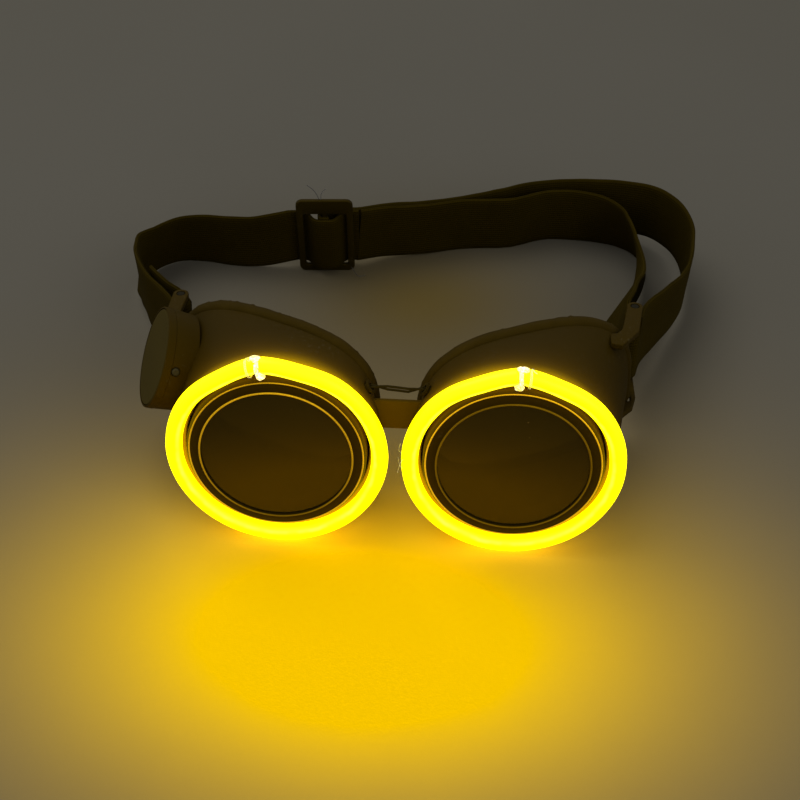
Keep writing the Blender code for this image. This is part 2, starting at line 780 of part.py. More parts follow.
def add_port_parts(port):
    """Everything inside the battery port, from the cover down to the circuit board."""
    cover_profile = [
        (0.0, 0.0),
        (COVER_RADIUS - EDGE_BREAK, 0.0),
        (COVER_RADIUS, -EDGE_BREAK),
        (COVER_RADIUS, -COVER_THICKNESS),
        (0.0, -COVER_THICKNESS),
    ]
    turned_piece("battery_cover", cover_profile, COVER_GREY, port, closed=False)
    half = CONTACT_LENGTH / 2
    arm = CONTACT_WIDTH / 2
    quarter = [(half, -arm), (half, arm), (arm, arm)]
    cross = []
    for turn in range(4):
        spin = Matrix.Rotation(turn * math.pi / 2, 2)
        cross += [tuple(spin @ Vector(corner)) for corner in quarter]
    contact_top = COVER_THICKNESS + GAP
    add_piece(
        "cover_contact",
        plate_mesh("cover_contact", cross, CONTACT_THICKNESS),
        BRASS,
        port,
        (0, 0, -contact_top - CONTACT_THICKNESS / 2),
        smooth=False,
    )
    for index in range(2):
        top = CELL_DEPTH + index * (CELL_THICKNESS + GAP)
        cell_profile = [
            (0.0, -top),
            (CELL_RADIUS - 0.0004, -top),
            (CELL_RADIUS, -top - 0.0004),
            (CELL_RADIUS, -top - CELL_THICKNESS),
            (0.0, -top - CELL_THICKNESS),
        ]
        turned_piece(f"coin_cell_{index + 1}", cell_profile, CELL_STEEL, port, closed=False)
    tray_top = CELL_DEPTH + 0.0005
    tray_floor = CELL_DEPTH + 2 * (CELL_THICKNESS + GAP)
    tray_inner = CELL_RADIUS + GAP
    tray_outer = tray_inner + TRAY_WALL
    tray_profile = [
        (0.0020, -tray_floor),
        (tray_inner, -tray_floor),
        (tray_inner, -tray_top),
        (tray_outer, -tray_top),
        (tray_outer, -tray_floor - TRAY_FLOOR),
        (0.0020, -tray_floor - TRAY_FLOOR),
    ]
    turned_piece("battery_tray", tray_profile, TRAY_PLASTIC, port)
    board_top = tray_floor + TRAY_FLOOR + GAP
    add_piece(
        "circuit_board",
        cylinder_mesh("circuit_board", BOARD_RADIUS, BOARD_THICKNESS, 48),
        BOARD_GREEN,
        port,
        (0, 0, -board_top - BOARD_THICKNESS / 2),
    )
    add_switch(port, tray_outer + GAP, board_top - GAP)
    add_button(port)


def add_switch(port, inner, bottom):
    """Small tactile switch standing on the board, with its plunger towards the button."""
    top = BUTTON_DEPTH - SWITCH_RISE
    body_centre = radial_place(inner + SWITCH_THICKNESS / 2)
    body_centre.z = -(top + bottom) / 2
    body = add_piece(
        "button_switch",
        box_mesh("button_switch", (bottom - top, SWITCH_WIDTH, SWITCH_THICKNESS)),
        SWITCH_BLACK,
        port,
        body_centre,
        smooth=False,
    )
    direction = Vector((math.cos(BUTTON_ANGLE), math.sin(BUTTON_ANGLE), 0))
    across = Vector((0, 0, 1)).cross(direction)
    body.rotation_euler = Matrix((Vector((0, 0, -1)), across, direction)).transposed().to_euler()
    reach = BUTTON_INNER - BUTTON_TRAVEL - GAP
    plunger_start = inner + SWITCH_THICKNESS / 2
    plunger = add_cutter(
        "switch_plunger",
        cylinder_mesh("switch_plunger", SWITCH_PLUNGER, reach - plunger_start, 16),
        port,
        radial_place((plunger_start + reach) / 2),
        radial_turn(),
    )
    cut(body, plunger, "UNION")


def add_button(port):
    length = PORT_MOUTH_RADIUS - BUTTON_INNER + BUTTON_PROUD - GAP
    profile = [
        (0.0, length),
        (BUTTON_RADIUS - 0.0004, length),
        (BUTTON_RADIUS, length - 0.0004),
        (BUTTON_RADIUS, BUTTON_FLANGE_THICKNESS),
        (BUTTON_FLANGE, BUTTON_FLANGE_THICKNESS),
        (BUTTON_FLANGE, 0.0),
        (0.0, 0.0),
    ]
    turned_piece(
        "power_button",
        profile,
        SOFT_BLACK,
        port,
        radial_place(BUTTON_INNER),
        radial_turn(),
        closed=False,
        steps=SMALL_STEPS,
    )


def add_bridge(lens_plane):
    """Flexible strip whose thick ends sit behind slots in the two cups."""
    half_web = BRIDGE_THICKNESS / 2
    half_head = BRIDGE_HEAD_THICKNESS / 2
    right_half = [
        (BRIDGE_HEAD_INNER, -half_web),
        (BRIDGE_HEAD_INNER, -half_head),
        (BRIDGE_HEAD_OUTER, -half_head),
        (BRIDGE_HEAD_OUTER, half_head),
        (BRIDGE_HEAD_INNER, half_head),
        (BRIDGE_HEAD_INNER, half_web),
    ]
    left_half = [(-x, -z) for x, z in right_half]
    outline = [(x, BRIDGE_DEPTH + z) for x, z in right_half + left_half]
    add_piece(
        "nose_bridge",
        plate_mesh("nose_bridge", outline, BRIDGE_TALL),
        SOFT_BLACK,
        lens_plane,
        (0, BRIDGE_HEIGHT, 0),
        (math.radians(-90), 0, 0),
        smooth=False,
    )


def in_lens_plane(side, place):
    """Move a point of a cup's lens frame into the middle lens frame."""
    return Vector((side * RING_SPACING / 2, 0, 0)) + Vector(place)


def port_point(port, place):
    """Point of the port's frame in the middle lens frame."""
    return in_lens_plane(LEFT, port.rotation_quaternion @ Vector(place) + port.location)


def filament_end(side):
    """Where a cup's filament ends, in the middle lens frame."""
    place = joint_frame(side) @ Vector((0, FILAMENT_END_RADIUS, -FILAMENT_END_DEPTH))
    return in_lens_plane(side, place)


def through_grommet(side, spread):
    """Four points straight through a lead hole, from inside the cup to outside it."""
    place, direction = grommet_place(side)
    start = in_lens_plane(side, place) + Vector((0, 0, spread))
    return [start + direction * reach for reach in (-0.0030, -0.0012, 0.0012, 0.0026)]


def through_floor(port, degrees):
    """Start and end of a lead's straight way through the hole in the port's floor."""
    angle = math.radians(degrees)
    x = -LEAD_HOLE_OFFSET + LEAD_CLUSTER * math.cos(angle)
    y = LEAD_CLUSTER * math.sin(angle)
    depth = PORT_BORE_DEPTH + 0.0001
    return port_point(port, (x, y, -depth)), port_point(port, (x, 1.4 * y, -depth - 0.0040))


def add_leads(lens_plane, port):
    """Pair of leads over the bridge to the right light, and one twin lead to the left light."""
    for letter, spread, sag, turn in (
        ("a", LEAD_SPREAD, 0.0, 120),
        ("b", -LEAD_SPREAD, 0.0019, 240),
    ):
        start, inside = through_floor(port, turn)
        left_inside = [
            (-RING_SPACING / 2 - 0.0245, 0.0218, -0.0255 + spread),
            (-RING_SPACING / 2 - 0.0120, 0.0266, -0.0195 + spread),
            (-RING_SPACING / 2, 0.0277, -0.0155 + spread),
            (-RING_SPACING / 2 + 0.0120, 0.0240, -0.0130 + spread),
            (-RING_SPACING / 2 + 0.0195, 0.0178, -0.0124 + spread),
        ]
        over = [
            (-0.0032, 0.0186 - sag, -0.0126 + spread),
            (0.0, 0.0182 - sag, -0.0128 + spread),
            (0.0032, 0.0180 - sag, -0.0126 + spread),
        ]
        end = filament_end(RIGHT) + Vector((1.5 * spread, 0, -0.0003))
        right_inside = [
            (RING_SPACING / 2 - 0.0190, 0.0178, -0.0126 + spread),
            (RING_SPACING / 2 - 0.0110, 0.0242, -0.0138 + spread),
            (RING_SPACING / 2 - 0.0060, 0.0258, -0.0142 + 2.6 * spread),
            tuple(end + Vector((0.9 * spread, -0.0006, -0.0022))),
            tuple(end),
        ]
        route = [tuple(start), tuple(inside)]
        route += left_inside
        route += [tuple(point) for point in through_grommet(LEFT, spread)]
        route += over
        route += [tuple(point) for point in through_grommet(RIGHT, spread)[::-1]]
        route += right_inside
        points = smooth_route(route, LEAD_STEP)
        name = f"right_light_lead_{letter}"
        add_piece(name, wire_curve(name, points, LEAD_RADIUS, sides=1), LEAD_BLACK, lens_plane)
    start, inside = through_floor(port, 0)
    end = filament_end(LEFT) + Vector((0, 0, -0.0003))
    route = [
        tuple(start),
        tuple(inside),
        (-RING_SPACING / 2 - 0.0240, 0.0176, -0.0232),
        (-RING_SPACING / 2 - 0.0170, 0.0228, -0.0185),
        (-RING_SPACING / 2 - 0.0095, 0.0262, -0.0152),
        tuple(end + Vector((0, -0.0006, -0.0022))),
        tuple(end),
    ]
    points = smooth_route(route, LEAD_STEP)
    lead = wire_curve("left_light_lead", points, LEAD_RADIUS, sides=1)
    add_piece("left_light_lead", lead, LEAD_BLACK, lens_plane)


def slider_point(along, towards, rise=0.0):
    """Point at a distance along the strap and towards the lenses from the slider's middle."""
    cos = math.cos(SLIDER_TURN)
    sin = math.sin(SLIDER_TURN)
    x = SLIDER_CENTRE[0] + along * cos + towards * sin
    y = SLIDER_CENTRE[1] + along * sin - towards * cos
    return (x, y, SLIDER_CENTRE[2] - STRAP_BELOW_SLIDER + rise, 0.0)


def beside_bar(side, out, back, rise, lean=0.0):
    """Point of the strap at a distance outwards, backwards and upwards from a strap bar's middle."""
    bar_y = math.sin(LEAN) * BAR_HEIGHT[side] + math.cos(LEAN) * BAR_DEPTH
    bar_z = RING_HEIGHT + math.cos(LEAN) * BAR_HEIGHT[side] - math.sin(LEAN) * BAR_DEPTH
    return (side * (RING_SPACING / 2 + BAR_SIDE + out), bar_y + back, bar_z + rise, lean)


def bar_point(side, degrees):
    """Point of the strap's middle on its way round a strap bar; 0 is straight out sideways."""
    angle = math.radians(degrees)
    back = BAR_WRAP * math.sin(angle)
    out = BAR_WRAP * math.cos(angle)
    return beside_bar(side, out, back * math.cos(LEAN), -back * math.sin(LEAN))


def middle_bar_wrap():
    """Route round the slider's middle bar, from behind it to the front."""
    half = SLIDER_MIDDLE_BAR / 2
    lift = SLIDER_THICKNESS / 2
    reach = 0.00095
    route = [slider_point(half + 0.0012, -lift - reach)]
    for start, centre_along, centre_towards in ((270, -half, -lift), (180, -half, lift)):
        for step in range(4):
            angle = math.radians(start - 30 * step)
            route.append(
                slider_point(
                    centre_along + reach * math.cos(angle),
                    centre_towards + reach * math.sin(angle),
                )
            )
    route.append(slider_point(half + 0.0006, lift + reach))
    return route


def strap_route():
    """Middle line of the whole webbing as (x, y, z, lean), from the left sewn end to the slider's."""
    floor = STRAP_FLOOR
    left_tail = [
        beside_bar(LEFT, 0.0141, 0.0197, -0.0020),
        beside_bar(LEFT, 0.0106, 0.0152, -0.0016),
        beside_bar(LEFT, 0.0066, 0.0106, -0.0012),
        beside_bar(LEFT, 0.0018, 0.0064, -0.0008),
    ]
    left_wrap = [bar_point(LEFT, degrees) for degrees in (165, 195, 225, 255, 285, 315, 340)]
    rear_left = [
        beside_bar(LEFT, 0.0086, 0.0072, -0.0004),
        beside_bar(LEFT, 0.0150, 0.0154, -0.0012),
        (-0.0958, 0.0815, 0.0228, 0.0),
        (-0.0990, 0.0910, 0.0192, 0.06),
        (-0.1008, 0.0995, 0.0156, 0.14),
        (-0.0993, 0.1065, 0.0134, 0.17),
        (-0.0950, 0.1122, 0.0128, 0.17),
        (-0.0885, 0.1157, 0.0128, 0.12),
        (-0.0800, 0.1168, floor, 0.06),
        (-0.0700, 0.1160, floor, 0.0),
        (-0.0610, 0.1157, 0.0130, 0.0),
        (-0.0530, 0.1161, 0.0146, 0.0),
    ]
    through = [
        slider_point(-0.0125, -0.00185),
        slider_point(-0.0093, -0.00185),
        slider_point(-0.0073, -0.00155),
        slider_point(-0.0056, 0.0002),
        slider_point(-0.0043, 0.0022),
        slider_point(-0.0026, 0.0033),
        slider_point(0.0, 0.00345),
        slider_point(0.0026, 0.0033),
        slider_point(0.0043, 0.0022),
        slider_point(0.0056, 0.0002),
        slider_point(0.0073, -0.00155),
        slider_point(0.0093, -0.00185),
        slider_point(0.0125, -0.00185),
    ]
    inner_ply = [
        (-0.0120, 0.1221, 0.0150, 0.0),
        (0.0030, 0.1262, 0.0134, 0.0),
        (0.0180, 0.1307, floor, 0.0),
        (0.0340, 0.1323, floor, 0.0),
        (0.0400, 0.1340, floor, 0.0),
        (0.0460, 0.1367, floor, 0.0),
        (0.0520, 0.1383, floor, 0.0),
        (0.0610, 0.1385, floor, 0.0),
        (0.0713, 0.1366, floor, 0.08),
        (0.0785, 0.1328, floor, 0.20),
        (0.0830, 0.1270, floor, 0.32),
        (0.0844, 0.1180, 0.0135, 0.30),
        (0.0832, 0.1060, 0.0150, 0.12),
        (0.0804, 0.0940, 0.0178, -0.15),
        beside_bar(RIGHT, 0.0002, 0.0280, -0.0080, -0.35),
        beside_bar(RIGHT, -0.0020, 0.0160, -0.0038, -0.30),
        beside_bar(RIGHT, -0.0029, 0.0075, -0.0012, -0.15),
    ]
    right_wrap = [bar_point(RIGHT, degrees) for degrees in (165, 195, 225, 255, 285, 315, 340)]
    outer_ply = [
        beside_bar(RIGHT, 0.0048, 0.0062, -0.0008),
        beside_bar(RIGHT, 0.0125, 0.0190, -0.0052),
        (0.0950, 0.0880, 0.0186, 0.0),
        (0.0996, 0.0985, 0.0168, 0.0),
        (0.1015, 0.1090, 0.0169, 0.0),
        (0.1018, 0.1172, 0.0172, 0.0),
        (0.0996, 0.1248, 0.0181, 0.0),
        (0.0960, 0.1310, 0.0179, 0.0),
        (0.0902, 0.1366, 0.0174, 0.0),
        (0.0818, 0.1400, 0.0165, 0.0),
        (0.0720, 0.1418, 0.0157, 0.0),
        (0.0615, 0.1424, 0.0150, 0.0),
        (0.0510, 0.1420, 0.0144, 0.0),
        (0.0410, 0.1402, 0.0138, 0.0),
        (0.0315, 0.1370, 0.0132, 0.0),
        (0.0170, 0.1325, 0.0127, 0.0),
        (0.0030, 0.1280, 0.0135, 0.0),
        (-0.0120, 0.1238, 0.0150, 0.0),
        slider_point(0.0125, -0.00345),
        slider_point(0.0093, -0.00345),
        slider_point(0.0060, -0.0030),
        slider_point(0.0036, -0.0021),
    ]
    wrap = middle_bar_wrap()
    coarse = left_tail + left_wrap + rear_left + through[:1]
    route = smooth_route(coarse, STRAP_STEP)[:-1] + smooth_route(through, STRAP_FINE_STEP)[:-1]
    coarse = through[-1:] + inner_ply + right_wrap + outer_ply
    route += smooth_route(coarse, STRAP_STEP)[:-1] + smooth_route(outer_ply[-1:] + wrap, STRAP_FINE_STEP)
    return route


def add_strap(root):
    """Elastic webbing as one flat band swept along its route."""
    section = bpy.data.curves.new("strap_section", "CURVE")
    section.dimensions = "2D"
    spline = section.splines.new("POLY")
    half_width = STRAP_WIDTH / 2
    half_thickness = STRAP_THICKNESS / 2
    corners = [
        (half_thickness, -half_width),
        (-half_thickness, -half_width),
        (-half_thickness, half_width),
        (half_thickness, half_width),
    ]
    spline.points.add(len(corners) - 1)
    for point, (x, y) in zip(spline.points, corners):
        point.co = (x, y, 0, 1)
    spline.use_cyclic_u = True
    section_object = add_cutter("strap_section", section, root)
    route = strap_route()
    curve = bpy.data.curves.new("elastic_strap", "CURVE")
    curve.dimensions = "3D"
    curve.twist_mode = "Z_UP"
    curve.bevel_mode = "OBJECT"
    curve.bevel_object = section_object
    curve.use_fill_caps = True
    band = curve.splines.new("POLY")
    band.points.add(len(route) - 1)
    for index, (point, (x, y, z, lean)) in enumerate(zip(band.points, route)):
        before = Vector(route[max(index - 1, 0)][:3])
        after = Vector(route[min(index + 1, len(route) - 1)][:3])
        sideways = (after - before).normalized().x
        nearness = min(1.0, max(0.0, (BAR_LEAN_START - y) / BAR_LEAN_FADE))
        point.co = (x, y, z, 1)
        point.tilt = lean - LEAN * nearness * sideways
    add_piece("elastic_strap", curve, WEBBING, root)


def rounded_rectangle(width, height, radius):
    outline = []
    for corner, (sx, sy) in enumerate(((1, 1), (-1, 1), (-1, -1), (1, -1))):
        for step in range(5):
            angle = math.radians(90 * corner + 22.5 * step)
            x = sx * (width / 2 - radius) + radius * math.cos(angle)
            y = sy * (height / 2 - radius) + radius * math.sin(angle)
            outline.append((x, y))
    return outline


def add_slider(root):
    """Three-bar slider on the strap."""
    frame = add_empty(
        "slider_frame",
        root,
        SLIDER_CENTRE,
        Matrix.Rotation(SLIDER_TURN, 3, "Z").to_quaternion(),
    )
    outline = rounded_rectangle(SLIDER_LENGTH, SLIDER_HEIGHT, SLIDER_CORNER)
    slider = add_piece(
        "strap_slider",
        plate_mesh("strap_slider", outline, SLIDER_THICKNESS),
        SLIDER_PLASTIC,
        frame,
        (0, 0, 0),
        (math.radians(90), 0, 0),
        smooth=False,
    )
    window_width = SLIDER_LENGTH / 2 - SLIDER_SIDE_BAR - SLIDER_MIDDLE_BAR / 2
    window_centre = SLIDER_MIDDLE_BAR / 2 + window_width / 2
    window_height = SLIDER_HEIGHT - 2 * SLIDER_RAIL
    for name, sign in (("left_window", -1), ("right_window", 1)):
        window = add_cutter(
            name,
            box_mesh(name, (window_width, 2 * SLIDER_THICKNESS, window_height)),
            frame,
            (sign * window_centre, 0, 0),
        )
        cut(slider, window)


def report_place(label, frame, place, direction):
    """Print a joint's place and axis in world space for the record."""
    matrix = frame.matrix_world
    spot = matrix @ Vector(place)
    axis = (matrix.to_3x3() @ Vector(direction)).normalized()
    print(label, [round(v, 5) for v in spot], [round(v, 4) for v in axis])


clear_scene()
PIECES = new_collection("led_goggles")
CUTTERS = new_collection("cutters", hidden=True)

BLACK_CUP = new_material("black moulded plastic", (0.012, 0.012, 0.012), 0.45)
BEZEL_BLACK = new_material("black bezel plastic", (0.014, 0.013, 0.012), 0.35)
SOFT_BLACK = new_material("soft black rubber", (0.015, 0.015, 0.015), 0.75)
DARK_GLASS = new_material("dark lens glass", (0.02, 0.02, 0.012), 0.06)
GLOW_TUBE = new_material(
    "glowing silicone", (0.95, 0.9, 0.1), 0.35, glow=(1.0, 0.92, 0.0), glow_strength=4.0
)
FILAMENT = new_material("led filament", (1.0, 0.85, 0.1), 0.4, glow=(1.0, 0.9, 0.1), glow_strength=8.0)
CLEAR_TIE = new_material("clear tie", (0.8, 0.8, 0.75), 0.2)
STEEL = new_material("bright steel", (0.55, 0.55, 0.55), 0.3, 1.0)
COVER_GREY = new_material("grey cover plastic", (0.09, 0.09, 0.07), 0.5)
BRASS = new_material("brass contact", (0.75, 0.55, 0.2), 0.3, 1.0)
CELL_STEEL = new_material("cell steel", (0.6, 0.6, 0.6), 0.25, 1.0)
TRAY_PLASTIC = new_material("tray plastic", (0.03, 0.03, 0.03), 0.5)
BOARD_GREEN = new_material("circuit board", (0.02, 0.12, 0.05), 0.45)
SWITCH_BLACK = new_material("switch plastic", (0.02, 0.02, 0.02), 0.4)
LEAD_BLACK = new_material("lead insulation", (0.01, 0.01, 0.01), 0.5)
WEBBING = new_material("black webbing", (0.012, 0.011, 0.010), 0.9)
SLIDER_PLASTIC = new_material("slider plastic", (0.012, 0.012, 0.012), 0.4)

ROOT = add_empty("goggles", None, (-CENTRE_X, -CENTRE_Y, 0))
LENS_TURN = Matrix.Rotation(math.radians(90) - LEAN, 3, "X").to_quaternion()
LENS_PLANE = add_empty("lens_plane", ROOT, (0, 0, RING_HEIGHT), LENS_TURN)
BRIDGE_AXIS = add_empty("bridge_axis", LENS_PLANE, (0, BRIDGE_HEIGHT, -BRIDGE_DEPTH))
LEFT_CENTRE = add_empty("left_lens_centre", LENS_PLANE, (-RING_SPACING / 2, 0, 0))
RIGHT_CENTRE = add_empty(
    "right_lens_centre", BRIDGE_AXIS, (RING_SPACING / 2, -BRIDGE_HEIGHT, BRIDGE_DEPTH)
)
PORT = add_empty(
    "port_mouth", LEFT_CENTRE, PORT_CENTRE, Vector(PORT_AXIS).normalized().to_track_quat("Z", "Y")
)

for SIDE, NAME, CENTRE in ((LEFT, "left", LEFT_CENTRE), (RIGHT, "right", RIGHT_CENTRE)):
    CUP = add_cup(SIDE, NAME, CENTRE)
    if SIDE == LEFT:
        add_port_housing(CUP, PORT, CENTRE)
    add_grommet(SIDE, NAME, CENTRE, CUP)
    add_lens_parts(SIDE, NAME, CENTRE)
    add_light(SIDE, NAME, CENTRE)
    add_edging(SIDE, NAME, CENTRE)
    add_strap_bar(SIDE, NAME, CENTRE)
add_port_parts(PORT)
add_bridge(LENS_PLANE)
add_leads(LENS_PLANE, PORT)
add_strap(ROOT)
add_slider(ROOT)

bpy.context.view_layer.update()
report_place("bridge hinge", BRIDGE_AXIS, (0, 0, 0), (0, 1, 0))
report_place("left lens axis", LEFT_CENTRE, (0, 0, 0), (0, 0, 1))
report_place("right lens axis", RIGHT_CENTRE, (0, 0, 0), (0, 0, 1))
report_place("port axis", PORT, (0, 0, 0), (0, 0, 1))
PRESS = radial_place(BUTTON_INNER)
report_place("button axis", PORT, PRESS, (-PRESS.x, -PRESS.y, 0))
report_place("slider axis", ROOT, SLIDER_CENTRE, (math.cos(SLIDER_TURN), math.sin(SLIDER_TURN), 0))
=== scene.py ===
# %% [markdown]
# # Lighted cup goggles
# A pair of round black cup goggles lies on a pale table, with its elastic strap standing on edge
# behind it. A silicone tube round each dark lens glows yellow. The moving frame comes from the
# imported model, and this script dresses it: it swaps soft or faceted pieces for detailed ones and
# gives everything a procedural material. All lengths are in metres.

import math

import bmesh
import bpy
from mathutils import Matrix, Quaternion, Vector, noise


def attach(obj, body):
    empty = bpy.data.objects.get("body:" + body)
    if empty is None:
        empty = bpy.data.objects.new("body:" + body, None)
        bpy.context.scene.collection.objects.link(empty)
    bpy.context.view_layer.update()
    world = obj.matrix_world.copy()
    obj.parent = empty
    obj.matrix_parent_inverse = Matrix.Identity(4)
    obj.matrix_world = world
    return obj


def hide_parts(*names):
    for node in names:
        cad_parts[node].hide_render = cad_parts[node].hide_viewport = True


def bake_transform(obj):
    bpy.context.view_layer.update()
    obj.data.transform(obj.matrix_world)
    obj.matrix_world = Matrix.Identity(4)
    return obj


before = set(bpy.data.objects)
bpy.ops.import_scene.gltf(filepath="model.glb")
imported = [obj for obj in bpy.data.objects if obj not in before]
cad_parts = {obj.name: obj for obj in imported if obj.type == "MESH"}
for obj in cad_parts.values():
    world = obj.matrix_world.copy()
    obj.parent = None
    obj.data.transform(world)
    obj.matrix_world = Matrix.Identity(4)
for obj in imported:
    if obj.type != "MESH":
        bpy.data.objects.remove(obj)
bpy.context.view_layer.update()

# %% [markdown]
# ## Camera
# The photo was taken from above and in front, about 40 cm away, a little to the right of the
# middle. The camera is fixed first, because everything else is judged through it.

# %% Camera
def link(name, data):
    """A new object in the scene's collection."""
    obj = bpy.data.objects.new(name, data)
    bpy.context.scene.collection.objects.link(obj)
    return obj


camera_data = bpy.data.cameras.new("camera")
camera_data.lens = 58.5
camera_data.sensor_width = 36.0
camera = link("camera", camera_data)
camera.location = (0.0175, -0.3099, 0.3527)
camera.rotation_euler = (math.radians(40.0), 0.0, math.radians(3.52))
bpy.context.scene.camera = camera

# %% [markdown]
# ## Where things are
# Each cup is drawn in its own lens frame: x to the right, y up along the lens, and z forwards
# out of the lens, with the ring of light in the plane z = 0. The lenses lean back by 14.8
# degrees. The battery port has a frame of its own, with z out through its cover.

# %% Frames
LEFT = -1
RIGHT = 1
SIDES = {LEFT: "left", RIGHT: "right"}
MIDDLE = (0.0008, -0.0662)
TUBE_RING = 0.0320
TUBE_RADIUS = 0.0026
NEAR_FADE = 0.0055
RING_SPACING = 0.0732
RING_HEIGHT = 0.03354
LEAN = math.radians(14.8)
LENS_PLANE = Matrix.Translation((*MIDDLE, RING_HEIGHT)) @ Matrix.Rotation(
    math.radians(90) - LEAN, 4, "X"
)
LENS_FRAME = {
    side: LENS_PLANE @ Matrix.Translation((side * RING_SPACING / 2, 0, 0)) for side in SIDES
}
PORT_CENTRE = (-0.0426, 0.01585, -0.0265)
PORT_AXIS = Vector((-0.891, 0.361, 0.276)).normalized()


def moved(matrix, place):
    return matrix @ Vector(place)


def facing(place, direction):
    """Frame at a place whose z points in a direction."""
    return Matrix.Translation(place) @ direction.to_track_quat("Z", "Y").to_matrix().to_4x4()


PORT_FRAME = LENS_FRAME[LEFT] @ facing(PORT_CENTRE, PORT_AXIS)

# %% [markdown]
# ## Shader helpers
# Shader maths is easier to read as plain sums, so a small class wraps an output socket and turns
# + - * / into Math nodes. One method makes every other node: its settings first, then its
# sockets.

# %% Shader classes
def operators(operation):
    """Two methods for a sum: with the value on its left, and on its right."""

    def on_left(self, other):
        return self.math(operation, self, other)

    def on_right(self, other):
        return self.math(operation, other, self)

    return on_left, on_right


class Wire:
    """A varying value in a material, with ordinary arithmetic."""

    def __init__(self, shade, socket):
        self.shade = shade
        self.socket = socket

    def math(self, operation, first, second=0.0):
        return self.shade.node("Math", {"operation": operation}, first, second)

    __add__, __radd__ = operators("ADD")
    __sub__, __rsub__ = operators("SUBTRACT")
    __mul__, __rmul__ = operators("MULTIPLY")
    __truediv__, __rtruediv__ = operators("DIVIDE")

    def sine(self):
        return self.math("SINE", self)

    def size(self):
        return self.math("ABSOLUTE", self)

    def above(self, edge, width):
        """0 below the edge and 1 above it, with a soft step."""
        settings = {"interpolation_type": "SMOOTHSTEP"}
        return self.shade.node("MapRange", settings, self, edge - width, edge + width)


class Shade:
    """One material and its nodes."""

    def __init__(self, name, **constants):
        self.material = bpy.data.materials.new(name)
        self.material.use_nodes = True
        self.tree = self.material.node_tree
        self.shader = self.tree.nodes["Principled BSDF"]
        for label, value in constants.items():
            self.shader.inputs[label.replace("_", " ")].default_value = value
        self.place = self.node("TexCoord", output="Object")

    def join(self, value, socket):
        if isinstance(value, Wire):
            self.tree.links.new(value.socket, socket)
        else:
            socket.default_value = value

    def node(self, kind, settings=None, *values, output=0, **named):
        made = self.tree.nodes.new("ShaderNode" + kind)
        for label, value in (settings or {}).items():
            setattr(made, label, value)
        for socket, value in zip(made.inputs, values):
            self.join(value, socket)
        for label, value in named.items():
            self.join(value, made.inputs[label.replace("_", " ")])
        return Wire(self, made.outputs[output])

    def noise(self, scale, detail=3.0, roughness=0.5, place=None):
        where = self.place if place is None else place
        return self.node(
            "TexNoise", None, Vector=where, Scale=scale, Detail=detail, Roughness=roughness
        )

    def axes(self, place):
        """The first two coordinates of a place, each as a value."""
        parts = self.tree.nodes.new("ShaderNodeSeparateXYZ")
        self.join(place, parts.inputs[0])
        return Wire(self, parts.outputs[0]), Wire(self, parts.outputs[1])

    def mix(self, factor, first, second):
        """From the first colour to the second."""
        made = self.tree.nodes.new("ShaderNodeMix")
        made.data_type = "RGBA"
        self.join(factor, made.inputs[0])
        self.join(first, made.inputs[6])
        self.join(second, made.inputs[7])
        return Wire(self, made.outputs[2])

    def attribute(self, name):
        """A number stored on the mesh; 0 where the mesh has none."""
        return self.node("Attribute", {"attribute_name": name}, output=2)

    def with_painted_glow(self, tone):
        """The tone with the tubes' light painted into it as amber, as far as the mesh says they are
        near.
        """
        near = self.attribute("near")
        tone = self.mix(near, tone, PAINTED_GLOW)
        return self.mix(near * near * near, tone, PAINTED_GLOW_DEEP)

    def set(self, label, value):
        self.join(value, self.shader.inputs[label])

    def surface(self, tone, rough, relief=None, depth=0.0):
        """Set colour, roughness and fine relief, and give the finished material."""
        self.set("Base Color", tone)
        self.set("Roughness", rough)
        if relief:
            bump = self.node("Bump", None, Strength=1.0, Distance=depth, Height=relief)
            self.set("Normal", bump)
        return self.material


def colour(red, green, blue):
    return (red, green, blue, 1.0)

# %% [markdown]
# ## Moulded plastics
# The cups are injection moulded in black with a fine spark-eroded grain, so light spreads
# softly over them. The lens rings are smoother. Both are nearly black, and what makes them
# real is in the roughness: a fine grain, slow patches from handling, and a little dust. The
# amber in their tones is painted light of the tubes. More of that light is painted as amber
# into the colour next to the tubes, as far as a mesh attribute says: "near" is 1 at the tube
# and fades over a centimetre or two. Another one, "shine", marks the thin ridges of the lens
# rings, which get a painted highlight: a pale amber colour and a faint glow.

# %% Plastics
# Painted reflection: WARM tints the reflections amber, as the tubes' light would.
WARM = colour(1.0, 0.65, 0.08)
# Painted light: the amber that the tubes' light gives the plastic and rubber beside them.
PAINTED_GLOW = colour(0.150, 0.072, 0.0005)
PAINTED_GLOW_DEEP = colour(0.60, 0.36, 0.001)


def moulded(name, dark, pale, rough, grain, depth):
    """Moulded plastic between two tones, with a grain of so many bumps a metre."""
    shade = Shade(name, Specular_IOR_Level=0.07, Specular_Tint=WARM, Emission_Strength=1.0)
    fine = shade.noise(grain, 4.0, 0.6)
    slow = shade.noise(45.0, 3.0, 0.55)
    dust = shade.noise(900.0, 2.0, 0.5).above(0.66, 0.05) * slow.above(0.5, 0.15)
    tone = shade.with_painted_glow(shade.mix(slow, dark, pale))
    # Painted highlight: the ridges marked "shine" get a pale amber colour and a faint glow, for the
    # tube's light glinting on them.
    painted_highlight = shade.attribute("shine") * (0.75 + 0.9 * (slow - 0.3))
    tone = shade.mix(painted_highlight, tone, colour(1.0, 0.58, 0.02))
    painted_glint = shade.mix(painted_highlight, colour(0.0, 0.0, 0.0), colour(0.17, 0.085, 0.0005))
    shade.set("Emission Color", painted_glint)
    tone = shade.mix(dust * 0.16, tone, colour(0.12, 0.10, 0.06))
    varied = rough + 0.16 * (slow - 0.5) + 0.14 * (fine - 0.5) + 0.2 * dust
    return shade.surface(tone, varied, fine, depth)
